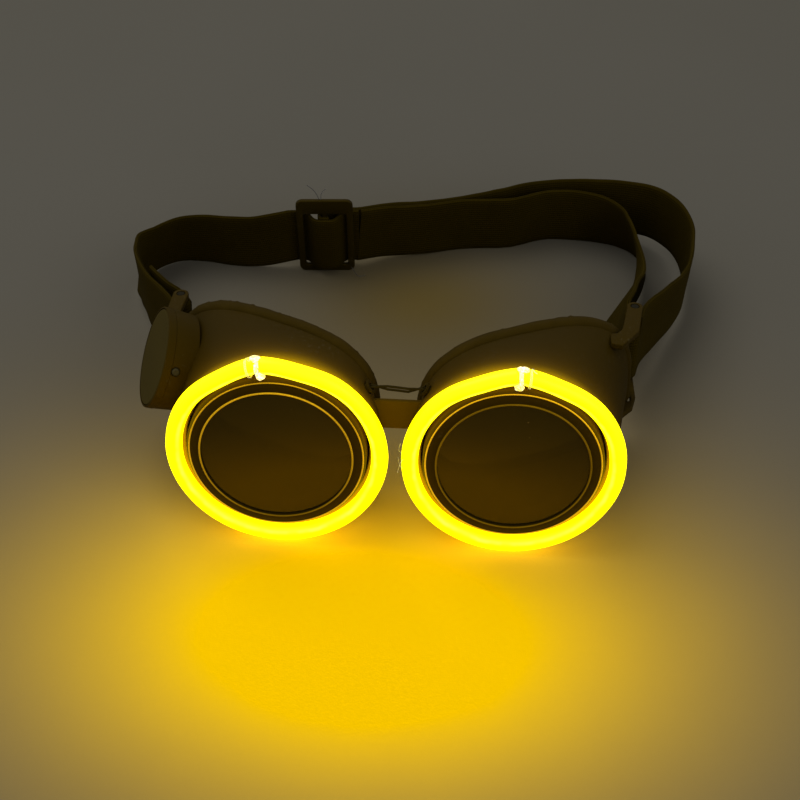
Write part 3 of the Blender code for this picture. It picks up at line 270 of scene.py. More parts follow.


# Painted light: the amber in these tones, all but DARK_GREY's, is the tubes' light on plastics that
# are black and grey.
BLACK = (colour(0.0185, 0.0108, 0.0004), colour(0.0270, 0.0160, 0.0008))
SMOOTH_BLACK = (colour(0.0120, 0.0070, 0.0003), colour(0.0180, 0.0105, 0.0006))
DULL_BLACK = (colour(0.0140, 0.0092, 0.0006), colour(0.0225, 0.0150, 0.0012))
GREY = (colour(0.033, 0.0235, 0.0038), colour(0.047, 0.034, 0.0062))
DARK_GREY = (colour(0.03, 0.03, 0.03), colour(0.045, 0.045, 0.043))
CUP = moulded("cup_plastic", *BLACK, 0.6, 4200.0, 0.00009)
RING = moulded("ring_plastic", *SMOOTH_BLACK, 0.45, 2500.0, 0.00002)
SLIDER = moulded("slider_plastic", *DULL_BLACK, 0.5, 3500.0, 0.00005)
COVER = moulded("cover_plastic", *GREY, 0.6, 3600.0, 0.00005)
TRAY = moulded("tray_plastic", *DARK_GREY, 0.5, 3000.0, 0.00004)

# %% [markdown]
# ## Rubber, glass, metal and light
# The face bead, the nose strip and the grommets are soft and dull. The lenses are very dark
# green-brown glass, so they are drawn as real glass that lets little through. The tube is
# milky silicone lit from inside, with a faint paler streak along its front, and the light
# varies a little along it. The glue at the tube's joint catches some of that light.

# %% Other materials
def rubber(name, dark, pale, depth):
    shade = Shade(name, Specular_IOR_Level=0.06, Specular_Tint=WARM)
    fine = shade.noise(2600.0, 5.0, 0.65)
    slow = shade.noise(130.0, 3.0, 0.6)
    tone = shade.with_painted_glow(shade.mix(slow, dark, pale))
    rough = 0.66 + 0.2 * (fine - 0.5) + 0.1 * (slow - 0.5)
    return shade.surface(tone, rough, 0.6 * fine + 0.4 * slow, depth)


def dark_glass():
    tint = colour(1.0, 0.74, 0.25)
    shade = Shade("lens_glass", IOR=1.5, Transmission_Weight=0.82, Specular_Tint=tint)
    specks = shade.noise(1500.0, 2.0, 0.5).above(0.74, 0.02)
    smear = shade.noise(60.0, 3.0, 0.6)
    brown = shade.mix(smear, colour(0.075, 0.050, 0.004), colour(0.10, 0.068, 0.007))
    tone = shade.mix(specks * 0.2, brown, colour(0.30, 0.25, 0.12))
    return shade.surface(tone, 0.03 + 0.05 * smear.above(0.5, 0.2) + 0.2 * specks)


def glowing(name, strength, edge, middle, streak=0.0):
    """Silicone lit from inside; a streak needs UVs of (metres along, turns round)."""
    shade = Shade(name, Emission_Strength=strength, Specular_IOR_Level=0.2)
    patches = shade.noise(260.0, 3.0, 0.5)
    milky = shade.mix(patches, colour(0.42, 0.30, 0.001), colour(0.5, 0.36, 0.002))
    light = shade.mix(patches.above(0.5, 0.25), edge, middle)
    if streak:
        along, around = shade.axes(shade.node("UVMap"))
        wander = shade.node("TexNoise", {"noise_dimensions": "1D"}, W=along * 25.0, Detail=2.0)
        patchy = 0.25 + 0.75 * wander.above(0.5, 0.3)
        distance = (around - 0.34 + 0.05 * (wander - 0.5)).size()
        band = 1.0 - distance.above(0.03, 0.03)
        light = shade.mix(band * patchy * streak, light, colour(1.0, 0.86, 0.26))
    shade.set("Emission Color", light)
    return shade.surface(milky, 0.36 + 0.14 * patches)


def clear_plastic(name):
    shade = Shade(name, IOR=1.48, Transmission_Weight=0.55, Coat_Weight=0.5)
    cloud = shade.noise(900.0, 3.0, 0.6)
    tone = shade.mix(cloud, colour(0.80, 0.78, 0.62), colour(0.95, 0.94, 0.86))
    return shade.surface(tone, 0.12 + 0.25 * cloud, cloud, 0.0001)


def lit_glue():
    """Clear glue that the filament's ends light from inside, with darker bubbles."""
    shade = Shade("lit_glue", IOR=1.48, Transmission_Weight=0.3, Emission_Strength=1.0)
    cloud = shade.noise(700.0, 3.0, 0.6)
    bubbles = shade.noise(1500.0, 2.0, 0.5).above(0.56, 0.05)
    tone = shade.mix(cloud, colour(0.80, 0.74, 0.40), colour(0.95, 0.93, 0.80))
    warm = shade.mix(cloud.above(0.5, 0.1), colour(0.75, 0.50, 0.02), colour(1.0, 0.92, 0.62))
    shade.set("Emission Color", shade.mix(bubbles, warm, colour(0.10, 0.08, 0.02)))
    return shade.surface(tone, 0.15 + 0.3 * cloud, cloud, 0.0002)


def metal(name, dark, pale, rough):
    shade = Shade(name, Metallic=1.0)
    brushed = shade.node("Mapping", None, Vector=shade.place, Scale=(900.0, 900.0, 9000.0))
    grain = shade.noise(1.0, 3.0, 0.6, brushed)
    stains = shade.noise(300.0, 4.0, 0.6)
    varied = rough + 0.2 * (grain - 0.5) + 0.12 * stains
    return shade.surface(shade.mix(stains, dark, pale), varied, grain, 0.000008)


def board():
    shade = Shade("circuit_board", Specular_IOR_Level=0.5)
    tracks = shade.noise(420.0, 0.0, 0.0).above(0.5, 0.012)
    green = shade.mix(tracks, colour(0.012, 0.10, 0.035), colour(0.03, 0.19, 0.07))
    return shade.surface(green, 0.32 + 0.1 * tracks, tracks, 0.00003)


# Painted light: the amber in BEAD_BLACK is the tubes' light on black rubber.
BEAD_BLACK = (colour(0.0190, 0.0115, 0.0010), colour(0.0300, 0.0185, 0.0022))
AMBER_BROWN = (colour(0.046, 0.027, 0.0008), colour(0.070, 0.041, 0.0014))
RUBBER = rubber("soft_rubber", *BEAD_BLACK, 0.00016)
KEY = rubber("button_rubber", colour(0.034, 0.027, 0.011), colour(0.048, 0.039, 0.018), 0.00004)
BRIDGE = rubber("bridge_rubber", *AMBER_BROWN, 0.00008)
GLASS = dark_glass()
GLOW = glowing("glowing_silicone", 2.4, colour(1.0, 0.80, 0.0), colour(1.0, 0.87, 0.0), 0.12)
CORE = glowing("led_filament", 5.0, colour(1.0, 0.80, 0.10), colour(1.0, 0.86, 0.18))
CLEAR = clear_plastic("clear_wire")
GLUE = lit_glue()
STEEL = metal("bright_steel", colour(0.42, 0.42, 0.41), colour(0.58, 0.57, 0.55), 0.26)
BLACK_STEEL = metal("black_steel", colour(0.009, 0.007, 0.002), colour(0.018, 0.014, 0.004), 0.5)
BRASS = metal("contact_brass", colour(0.55, 0.38, 0.14), colour(0.72, 0.54, 0.24), 0.28)
BOARD = board()
SHEATH = (colour(0.013, 0.009, 0.0015), colour(0.022, 0.015, 0.003))
LEAD = rubber("lead_insulation", *SHEATH, 0.00003)

# %% [markdown]
# ## Webbing
# Elastic webbing is knitted: rubber cords run along it about a millimetre apart, and the yarn
# wraps across them. The pattern has to follow the band round its bends, so it reads the UV map
# that the band gets, in metres along and across. Loose ends of its yarn need a thread material.

# %% Webbing and thread
CORD_PITCH = 0.00105
YARN_PITCH = 0.00075


def webbing(name):
    shade = Shade(name, Specular_IOR_Level=0.04, Specular_Tint=WARM)
    uv = shade.node("UVMap")
    along, across = shade.axes(uv)
    wobble = shade.noise(600.0, 2.0, 0.5, uv)
    ribs = 0.5 + 0.5 * (across * (math.tau / CORD_PITCH) + 1.2 * wobble).sine()
    weft = 0.5 + 0.5 * (along * (math.tau / YARN_PITCH) + 2.0 * ribs).sine()
    yarn = 0.6 * ribs + 0.4 * weft
    fuzz = shade.noise(5200.0, 4.0, 0.7, uv)
    slow = shade.noise(70.0, 3.0, 0.6, uv)
    lint = shade.noise(1400.0, 1.0, 0.5, uv).above(0.76, 0.03)
    # Painted shade and light: the deep tone lies in the grooves between cords and yarns, the high
    # tone on their tops, and the amber in both is the tubes' light on black webbing.
    deep = shade.mix(slow, colour(0.0105, 0.0070, 0.0004), colour(0.0165, 0.0110, 0.0006))
    high = shade.mix(slow, colour(0.0250, 0.0165, 0.0009), colour(0.0380, 0.0255, 0.0014))
    base = shade.mix(yarn * (0.6 + 0.6 * fuzz), deep, high)
    tone = shade.mix(lint * 0.35, base, colour(0.07, 0.065, 0.05))
    rough = 0.82 + 0.16 * (fuzz - 0.5)
    return shade.surface(tone, rough, 0.75 * yarn + 0.25 * fuzz, 0.00022)


def thread(name):
    shade = Shade(name, Sheen_Weight=0.3)
    fuzz = shade.noise(8000.0, 3.0, 0.6)
    yarn = shade.mix(fuzz, colour(0.012, 0.010, 0.008), colour(0.035, 0.03, 0.024))
    return shade.surface(yarn, 0.7 + 0.2 * fuzz)


WEBBING = webbing("black_webbing")
THREAD = thread("black_thread")

# %% [markdown]
# ## Building helpers
# Every new piece ends much the same way: its normals are made to face out, it is shaded smooth
# except at real edges, and it gets a material; most then ride on a body of the frame.

# %% Mesh helpers
MERGE = 0.000002


def bare_object(name, bm):
    """A mesh object with its faces turned outwards."""
    bmesh.ops.recalc_face_normals(bm, faces=bm.faces)
    mesh = bpy.data.meshes.new(name)
    bm.to_mesh(mesh)
    bm.free()
    return link(name, mesh)


def add_object(name, bm, material, smooth=38.0):
    """An object with its material, shaded smooth up to an angle in degrees."""
    obj = bare_object(name, bm)
    obj.data.materials.append(material)
    obj.data.shade_smooth()
    obj.data.set_sharp_from_angle(angle=math.radians(smooth))
    return obj


def dress(obj, body, slot, *nodes):
    """Let a piece ride on its body and take the place of CAD nodes; slot, the name of its finish,
    is not used.
    """
    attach(obj, body)
    if nodes:
        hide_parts(*nodes)


def mark(obj, name, value):
    """Store a number on every vertex, worked out from its place."""
    layer = obj.data.attributes.new(name, "FLOAT", "POINT")
    for item, vert in zip(layer.data, obj.data.vertices):
        item.value = value(vert.co)


def nearness(place):
    """1 beside a light tube, fading almost to 0 over two centimetres."""
    least = 1.0
    for matrix in LENS_FRAME.values():
        local = matrix.inverted() @ place
        least = min(least, math.hypot(math.hypot(local.x, local.y) - TUBE_RING, local.z))
    return math.exp(-max(0.0, least - TUBE_RADIUS) / NEAR_FADE)


def skin(rings, closed=False, tile=None):
    """Quads between closed rings of points, capped unless the last ring meets the first.

    tile gives UVs of (along, across) for each corner.
    """
    bm = bmesh.new()
    layer = bm.loops.layers.uv.new("UVMap") if tile else None
    loops = [[bm.verts.new(point) for point in ring] for ring in rings]
    count = len(loops[0])
    last = len(loops) if closed else len(loops) - 1
    for i in range(last):
        here = loops[i]
        there = loops[(i + 1) % len(loops)]
        for k in range(count):
            m = (k + 1) % count
            face = bm.faces.new((here[k], here[m], there[m], there[k]))
            if tile:
                corners = ((i, k), (i, k + 1), (i + 1, k + 1), (i + 1, k))
                for loop, (row, column) in zip(face.loops, corners):
                    loop[layer].uv = tile(row, column)
    if not closed:
        bm.faces.new(loops[0])
        bm.faces.new(loops[-1][::-1])
    return bm


def lathe(profile, matrix, steps, closed=True):
    """Spin (radius, z) points about z; an open profile starts and ends on the axis."""
    bm = bmesh.new()
    verts = [bm.verts.new((radius, 0.0, z)) for radius, z in profile]
    edges = [bm.edges.new(pair) for pair in zip(verts, verts[1:])]
    if closed:
        edges.append(bm.edges.new((verts[-1], verts[0])))
    bmesh.ops.spin(
        bm, geom=verts + edges, cent=(0, 0, 0), axis=(0, 0, 1),
        angle=math.tau, steps=steps, use_merge=True,
    )
    bmesh.ops.remove_doubles(bm, verts=bm.verts, dist=MERGE)
    bmesh.ops.transform(bm, matrix=matrix, verts=bm.verts)
    return bm


def arc(centre, radius, start, end, count):
    """Points of an arc in a profile, in degrees from the first axis."""
    points = []
    for i in range(count + 1):
        angle = math.radians(start + (end - start) * i / count)
        points.append((centre[0] + radius * math.cos(angle), centre[1] + radius * math.sin(angle)))
    return points


def smooth_route(points, step):
    """Points every step along a smooth curve through the given ones, of any dimension."""
    dense = []
    last = len(points) - 1
    for i in range(last):
        before = points[max(i - 1, 0)]
        start = points[i]
        end = points[i + 1]
        after = points[min(i + 2, last)]
        count = max(1, round(math.dist(start[:3], end[:3]) / step))
        for k in range(count):
            t = k / count
            place = []
            for a, b, c, d in zip(before, start, end, after):
                curve = 2 * b + (c - a) * t + (2 * a - 5 * b + 4 * c - d) * t**2
                place.append(0.5 * (curve + (3 * b - a - 3 * c + d) * t**3))
            dense.append(tuple(place))
    dense.append(tuple(points[last]))
    return dense


def turns(count):
    """(cosine, sine) at each step round a circle."""
    angles = [math.tau * k / count for k in range(count)]
    return [(math.cos(angle), math.sin(angle)) for angle in angles]


def tube(places, radius, sides):
    """Round tube along a line of places, without twist."""
    last = len(places) - 1
    rings = []
    side = None
    for i, place in enumerate(places):
        along = (places[min(i + 1, last)] - places[max(i - 1, 0)]).normalized()
        if side is None:
            side = along.orthogonal().normalized()
        side = (side - along * side.dot(along)).normalized()
        other = along.cross(side)
        rings.append([place + radius * (c * side + s * other) for c, s in turns(sides)])
    return skin(rings)

# %% [markdown]
# ## Eye cups
# Each cup is one moulding: a round front that carries the tube and the lens thread, and a wall
# that spreads to the slanted oval opening for the face. A loft through closed rings gives that
# change from circle to oval. Lugs and the battery port are then joined and bored with Booleans,
# as the mould would form them, and the Booleans are applied.

# %% Cup rings
CUP_SEGMENTS = 132
CUP_SECTIONS = 14
WALL = 0.0020
RIM_POWER = 2.8
RIM_TURN = math.radians(4.0)
RIM_CENTRE = (0.0043, 0.0027)
RIM_SIZE = (0.0338, 0.0273)
RIM_DEPTH = 0.02775
RIM_SLOPE = 0.38
BEVEL = 0.0004
NECK = (0.0240, 0.0261)
NECK_FRONT = 0.0021
CHANNEL = (0.0286, 0.0070)
SEAT_FRONT = 0.0029
SHOULDER = (0.0324, 0.0080)


def rim_ring(inset, depth, side, count=CUP_SEGMENTS):
    """Rounded outline of the face opening, in its slanted plane."""
    ring = []
    for i in range(count):
        angle = math.tau * i / count
        across = abs(math.cos(angle) / (RIM_SIZE[0] - inset)) ** RIM_POWER
        up = abs(math.sin(angle) / (RIM_SIZE[1] - inset)) ** RIM_POWER
        radius = (across + up) ** (-1 / RIM_POWER)
        out = RIM_CENTRE[0] + radius * math.cos(angle + RIM_TURN)
        rise = RIM_CENTRE[1] + radius * math.sin(angle + RIM_TURN)
        ring.append(Vector((side * out, rise, -(depth + RIM_SLOPE * out))))
    return ring


def round_ring(radius, depth, side):
    ring = []
    for i in range(CUP_SEGMENTS):
        angle = math.tau * i / CUP_SEGMENTS + RIM_TURN
        ring.append(Vector((side * radius * math.cos(angle), radius * math.sin(angle), -depth)))
    return ring


def cup_rings(side):
    """Rings from the neck's front over the outside to the rim, and back along the inside."""
    front = [(NECK[1] - 0.0003, NECK_FRONT), (NECK[1], 0.0024), (NECK[1], CHANNEL[1])]
    front += [(CHANNEL[0], CHANNEL[1]), (CHANNEL[0], SEAT_FRONT + 0.0003)]
    front += [(CHANNEL[0] + 0.0003, SEAT_FRONT), (SHOULDER[0] - 0.0007, SEAT_FRONT)]
    front += [(SHOULDER[0] - 0.0002, SEAT_FRONT + 0.0002), (SHOULDER[0], SEAT_FRONT + 0.0007)]
    rings = [round_ring(radius, depth, side) for radius, depth in front]
    shoulder = round_ring(*SHOULDER, side)
    rim = rim_ring(0.0, RIM_DEPTH, side)
    steps = [i / CUP_SECTIONS for i in range(CUP_SECTIONS)]
    rings += [[a.lerp(b, t) for a, b in zip(shoulder, rim)] for t in steps]
    rings += [rim_ring(0.0, RIM_DEPTH - BEVEL, side), rim_ring(BEVEL, RIM_DEPTH, side)]
    rings += [rim_ring(WALL - BEVEL, RIM_DEPTH, side), rim_ring(WALL, RIM_DEPTH - BEVEL, side)]
    inner_depth = CHANNEL[1] + WALL
    inner_start = round_ring(SHOULDER[0] - WALL, inner_depth, side)
    inner_rim = rim_ring(WALL, RIM_DEPTH, side)
    rings += [[b.lerp(a, t) for a, b in zip(inner_start, inner_rim)] for t in steps[1:]]
    inner_neck = [round_ring(NECK[0], depth, side) for depth in (inner_depth, NECK_FRONT)]
    return rings + [inner_start] + inner_neck


# %% Cutters and Booleans
def rod(radius, low, high, matrix, steps):
    """Closed cylinder between two heights of a frame."""
    bm = bmesh.new()
    bmesh.ops.create_cone(
        bm, cap_ends=True, segments=steps, radius1=radius, radius2=radius, depth=high - low
    )
    bmesh.ops.translate(bm, vec=(0, 0, (low + high) / 2), verts=bm.verts)
    bmesh.ops.transform(bm, matrix=matrix, verts=bm.verts)
    return bm


def block(size, matrix):
    bm = bmesh.new()
    bmesh.ops.create_cube(bm, size=1.0)
    bmesh.ops.scale(bm, vec=size, verts=bm.verts)
    bmesh.ops.transform(bm, matrix=matrix, verts=bm.verts)
    return bm


def round_off(bm, edges, width):
    """Round the given edges over a width."""
    bmesh.ops.bevel(
        bm, geom=edges, affect="EDGES", offset=width, segments=3, profile=0.5, material=-1
    )


def plate(outline, thickness, matrix, bevel=0.0):
    """Flat outline thickened both ways along z, with its edges rounded."""
    bm = bmesh.new()
    face = bm.faces.new([bm.verts.new((x, y, -thickness / 2)) for x, y in outline])
    raised = bmesh.ops.extrude_face_region(bm, geom=[face])
    top = [item for item in raised["geom"] if isinstance(item, bmesh.types.BMVert)]
    bmesh.ops.translate(bm, vec=(0, 0, thickness), verts=top)
    if bevel:
        flat = [edge for edge in bm.edges if edge.verts[0].co.z * edge.verts[1].co.z > 0]
        round_off(bm, flat, bevel)
    bmesh.ops.transform(bm, matrix=matrix, verts=bm.verts)
    return bm


def carve(obj, steps):
    """Apply Booleans (operation, tool) in order, and drop the tools once they are used."""
    for operation, tool in steps:
        modifier = obj.modifiers.new(operation, "BOOLEAN")
        modifier.operation = operation
        modifier.solver = "EXACT"
        modifier.object = tool
    graph = bpy.context.evaluated_depsgraph_get()
    finished = bpy.data.meshes.new_from_object(obj.evaluated_get(graph))
    obj.modifiers.clear()
    obj.data = finished
    for _, tool in steps:
        bpy.data.objects.remove(tool, do_unlink=True)

# %% Cup parts
GAP = 0.0003
BAR_OUT = 0.0392
BAR_DEPTH = 0.05583
BAR_HEIGHT = {LEFT: 0.0072, RIGHT: 0.0100}
BAR_RADIUS = 0.00125
EAR_OFFSET = 0.0142
EAR_THICKNESS = 0.0020
EAR_RADIUS = 0.0026
EAR_BEVEL = 0.0003
UPPER_EAR = (
    [(-0.0014, -0.0073), (0.0021, -0.0083), (0.0081, 0.0007)],
    [(0.0035, 0.0050), (0.0027, 0.0014), (0.0010, -0.0010), (-0.0014, -0.0015)],
)
LOWER_EAR = (
    [(-0.0043, -0.0077), (-0.0013, -0.0082), (0.0022, -0.0037), (0.0036, 0.0020)],
    [(0.0019, 0.0056), (0.0017, -0.0002), (-0.0006, -0.0014), (-0.0043, -0.0020)],
)
JOINT_ANGLE = {LEFT: math.radians(8.0), RIGHT: math.radians(0.5)}
PORT_MOUTH = 0.0165
PORT_ROOT = 0.0157
PORT_LENGTH = 0.0102
PORT_BORE = (0.0136, 0.0086)
COVER_RADIUS = 0.0156
COVER_THICKNESS = 0.0012
BUTTON_ANGLE = math.radians(115.0)
BUTTON_DEPTH = 0.0040
BUTTON_RADIUS = 0.0012
TIE_OFFSET = 0.0028
BRIDGE_HEIGHT = 0.0080
BRIDGE_DEPTH = 0.0125
GROMMET = (0.0019, 0.0167, 0.0125)


def joint_frame(side, offset=0.0):
    """Frame at the tube's joint: x along the tube, y outwards from the lens, z forwards."""
    return Matrix.Rotation(-side * (JOINT_ANGLE[side] + offset / TUBE_RING), 4, "Z")


def ear_steps(side):
    """Two lugs whose outlines start from the rim at their own height."""
    tip = []
    for degrees in range(-10, 191, 10):
        angle = math.radians(degrees)
        out = BAR_OUT + EAR_RADIUS * math.cos(angle)
        tip.append((out, BAR_DEPTH + EAR_RADIUS * math.sin(angle)))
    turn = Matrix.Rotation(math.radians(-90), 4, "X")
    rim = rim_ring(0.0, RIM_DEPTH, RIGHT, 2000)
    steps = []
    for sign, sides in ((1, UPPER_EAR), (-1, LOWER_EAR)):
        height = BAR_HEIGHT[side] + sign * EAR_OFFSET
        root = min((place for place in rim if place.x > 0), key=lambda at: abs(at.y - height))
        front, back = ([(root.x + x, y - root.z) for x, y in points] for points in sides)
        outline = [(side * out, depth) for out, depth in front + tip + back]
        flat = Matrix.Translation((0, height, 0)) @ turn
        ear = plate(outline, EAR_THICKNESS, flat, EAR_BEVEL)
        steps.append(("UNION", bare_object("ear", ear)))
    upright = Matrix.Translation((side * BAR_OUT, BAR_HEIGHT[side], -BAR_DEPTH)) @ turn
    bore = rod(BAR_RADIUS + GAP, -0.02, 0.02, upright, 32)
    return steps + [("DIFFERENCE", bare_object("bar_bore", bore))]


def seat_steps(side):
    """Filament hole, tie notch, bridge slot and lead hole."""
    slope = Vector((0, 0.0290 - TUBE_RING, -0.0122)).normalized()
    joint = joint_frame(side)
    hole = facing(joint @ Vector((0, TUBE_RING, 0)), joint.to_3x3() @ slope)
    notch = joint_frame(side, TIE_OFFSET) @ Matrix.Translation((0, TUBE_RING - 0.0005, -SEAT_FRONT))
    slot = Matrix.Translation((-side * 0.0300, BRIDGE_HEIGHT, -BRIDGE_DEPTH))
    radius = SHOULDER[0] - WALL / 2
    out = math.sqrt(radius**2 - GROMMET[1] ** 2)
    direction = Vector((-side * out, GROMMET[1], 0)).normalized()
    lead = facing((-side * out, GROMMET[1], -GROMMET[2]), direction)
    cutters = {
        "filament_hole": rod(0.0011, 0.0018, 0.0143, hole, 24),
        "tie_notch": block((0.0016, 0.0080, 0.0024), notch),
        "bridge_slot": block((0.0100, 0.0111, 0.0021), slot),
        "lead_hole": rod(GROMMET[0], -0.004, 0.004, lead, 32),
    }
    return [("DIFFERENCE", bare_object(name, bm)) for name, bm in cutters.items()]


def port_steps():
    """Barrel, counterbore, bore, lead hole and button bore of the battery port."""
    port = LENS_FRAME[LEFT].inverted() @ PORT_FRAME
    groove = 0.00022
    barrel = [(0.0, -PORT_LENGTH), (PORT_ROOT, -PORT_LENGTH)]
    barrel += [(PORT_MOUTH - 0.00018, -0.0034), (PORT_MOUTH - groove, -0.0030)]
    barrel += [(PORT_MOUTH - groove, -0.0027), (PORT_MOUTH - 0.00002, -0.0024)]
    barrel += arc((PORT_MOUTH - 0.0004, -0.0004), 0.0004, 0, 90, 4) + [(0.0, 0.0)]
    sideways = Vector((math.cos(BUTTON_ANGLE), math.sin(BUTTON_ANGLE), 0))
    press = facing((0, 0, -BUTTON_DEPTH), sideways)
    lead = port @ Matrix.Translation((-0.0050, 0, 0))
    seat = COVER_THICKNESS + GAP
    cutters = {
        "counterbore": rod(COVER_RADIUS + GAP, -seat, 0.002, port, 96),
        "bore": rod(PORT_BORE[0], -PORT_BORE[1], 0.001, port, 96),
        "port_lead": rod(0.0022, -0.0126, -0.0066, lead, 32),
        "button_bore": rod(BUTTON_RADIUS + GAP, 0.0120, 0.0190, port @ press, 32),
        "button_seat": rod(0.0022, 0.0120, 0.0147, port @ press, 32),
    }
    steps = [("UNION", bare_object("barrel", lathe(barrel, port, 96, closed=False)))]
    return steps + [("DIFFERENCE", bare_object(name, bm)) for name, bm in cutters.items()]


def add_cup(side):
    name = f"{SIDES[side]}_cup_moulding"
    cup = add_object(name, skin(cup_rings(side), closed=True), CUP)
    steps = ear_steps(side)
    if side == LEFT:
        steps += port_steps()
    carve(cup, steps + seat_steps(side))
    mesh = cup.data
    mesh.transform(LENS_FRAME[side])
    mesh.shade_smooth()
    mesh.set_sharp_from_angle(angle=math.radians(32))
    mark(cup, "near", nearness)
    dress(cup, f"{SIDES[side]}_cup", "cup_plastic", f"{SIDES[side]}_eye_cup")
    print(name, len(mesh.polygons), "faces")


for SIDE in SIDES:
    add_cup(SIDE)

# %% [markdown]
# ## Lens rings and lenses
# The screwed ring holds the glass. Its face has a raised lip at the opening, a band that slopes
# down from it and a second thin ridge near the edge, and the two catch the light of the tube as
# bright lines, painted on as a highlight where "shine" marks them. In the photo they differ in
# strength between left and right, so "shine" does. A lathe profile is the natural way to make
# the ring. The glass is a plain thick disc.

# %% Rings, lenses and small turned pieces
LIP = (0.02375, 0.0020)
RIDGE = (0.02705, 0.0013)
RIDGE_RADIUS = 0.00026


def add_lens_parts(side):
    name = SIDES[side]
    place = LENS_FRAME[side]
    lip = arc(LIP, 0.00028, 180, 20, 8)
    outer = arc(RIDGE, RIDGE_RADIUS, 160, 20, 8)
    profile = lip + [(0.0241, 0.0019), (0.0250, 0.0018), (0.0260, 0.0016), (0.0267, 0.00138)]
    profile += outer + [(0.02735, 0.0013), (0.0277, 0.0008), (0.0280, 0.0004)]
    profile += [(0.0280, -0.0020), (0.02785, -0.0022), (0.0280, -0.0024)]
    profile += [(0.0280, -0.0064), (0.0277, -0.0067), (0.0264, -0.0067)]
    profile += [(0.0264, 0.00132), (0.02347, 0.00132)]
    ring = add_object(f"{name}_screw_ring", lathe(profile, place, 160), RING, 50)
    back = place.inverted()

    # Painted highlight: how strongly each ridge shows the tube's light, per side and, on the left,
    # with height.
    def painted_highlight(spot):
        local = back @ spot
        radius = math.hypot(local.x, local.y)
        height = local.y / radius
        if local.z > LIP[1] + 0.00005 and radius < LIP[0] + 0.0003:
            return 0.50 + 0.32 * height if side == LEFT else 0.16
        if local.z > RIDGE[1] + 0.00009 and abs(radius - RIDGE[0]) < RIDGE_RADIUS:
            return 0.85 - 0.15 * height if side == LEFT else 1.0
        return 0.0

    mark(ring, "shine", painted_highlight)
    # Painted light: a little of the tubes' amber is painted into the ring's colour too.
    mark(ring, "near", lambda spot: 0.30 * nearness(spot))
    dress(ring, f"{name}_ring", "bezel_plastic", f"{name}_lens_bezel")
    glass = [(0.0, 0.0013), (0.0247, 0.0013), (0.0250, 0.0010), (0.0250, -0.0004)]
    glass += [(0.0247, -0.0007), (0.0, -0.0007)]
    disc = add_object(f"{name}_glass", lathe(glass, place, 160, closed=False), GLASS, 30)
    dress(disc, f"{name}_cup", "dark_glass", f"{name}_lens")


for SIDE in SIDES:
    add_lens_parts(SIDE)

cover_profile = [(0.0, 0.0), (COVER_RADIUS - 0.0009, 0.0)]
cover_profile += arc((COVER_RADIUS - 0.0003, -0.0003), 0.0003, 90, 0, 4)
cover_profile += [(COVER_RADIUS, -COVER_THICKNESS), (0.0, -COVER_THICKNESS)]
cover = add_object("port_cover", lathe(cover_profile, PORT_FRAME, 128, closed=False), COVER, 30)
dress(cover, "cover", "cover_plastic", "battery_cover")

# %% [markdown]
# ## Light tubes
# Each tube is a length of soft silicone bent into a ring. Its two ends push against each other
# at the top, which lifts them a little, and clear glue and a clear tie hold them. The tube's
# ends are rounded and a millimetre apart, so the filament shows brighter between them.

# %% Tubes
TUBE_SPLIT = 0.0012
TUBE_START = 0.0016
TUBE_SECTIONS = 150
TUBE_SIDES = 20
JOINT_LIFT = 0.0008


def ring_point(side, along, reach=0.0, forward=0.0):
    """Point at an arc length from the tube's joint, measured towards the outer side."""
    angle = JOINT_ANGLE[side] + along / TUBE_RING
    whole = math.tau * TUBE_RING
    near = min(along % whole, whole - along % whole)
    peak = JOINT_LIFT * math.exp(-near / 0.0050)
    dip = JOINT_LIFT * math.exp(-(((near - 0.013) / 0.008) ** 2))
    radius = TUBE_RING + peak - dip + reach
    return Vector((side * radius * math.sin(angle), radius * math.cos(angle), forward))


def add_tube(side):
    name = SIDES[side]
    whole = math.tau * TUBE_RING
    stations = []
    for inset, share in ((0.0, 0.55), (0.00012, 0.82), (0.0004, 0.96)):
        stations.append((TUBE_SPLIT / 2 + inset, share))
    for i in range(TUBE_SECTIONS + 1):
        stations.append((TUBE_START + (whole - 2 * TUBE_START) * i / TUBE_SECTIONS, 1.0))
    for along, share in stations[2::-1]:
        stations.append((whole - along, share))
    rings = []
    for along, share in stations:
        wander = noise.noise(Vector((along * 60, side * 3.0, 0.4)))
        swell = 1.0 + 0.02 * noise.noise(Vector((along * 150, side * 7.0, 2.2)))
        ring = []
        for c, s in turns(TUBE_SIDES):
            reach = TUBE_RADIUS * share * swell * c + 0.00012 * wander
            forward = TUBE_RADIUS * share * swell * s
            ring.append(moved(LENS_FRAME[side], ring_point(side, along, reach, forward)))
        rings.append(ring)

    def tile(row, column):
        return (stations[min(row, len(stations) - 1)][0], column / TUBE_SIDES)

    obj = add_object(f"{name}_glow_tube", skin(rings, tile=tile), GLOW, 60)
    dress(obj, f"{name}_cup", "glowing_silicone", f"{name}_light_tube")
    core = [moved(LENS_FRAME[side], ring_point(side, at * TUBE_SPLIT / 2)) for at in (-2, 0, 2)]
    obj = add_object(f"{name}_bright_gap", tube(core, 0.0008, 10), CORE, 60)
    dress(obj, f"{name}_cup", "led_filament")

# %% [markdown]
# Three drops of clear glue sit round each joint, and a clear tie goes twice round the tube
# beside it. A few loose hairs stand out from the side of the right tube.

# %% Glue, ties and clear threads
def lumpy(centre, size, seed):
    """Irregular droplet: a sphere of a given half size, pushed about by noise."""
    bm = bmesh.new()
    bmesh.ops.create_icosphere(bm, subdivisions=4, radius=1.0)
    for vert in bm.verts:
        push = 1.0 + 0.25 * noise.noise(vert.co * 1.7 + Vector((seed, seed * 0.7, 1.3)))
        vert.co = Vector([c * s * push for c, s in zip(vert.co, size)]) + Vector(centre)
    return bm


TIE_RISE = 0.00040
TIE_RADIUS = 0.00016
TIE_STEPS = 72


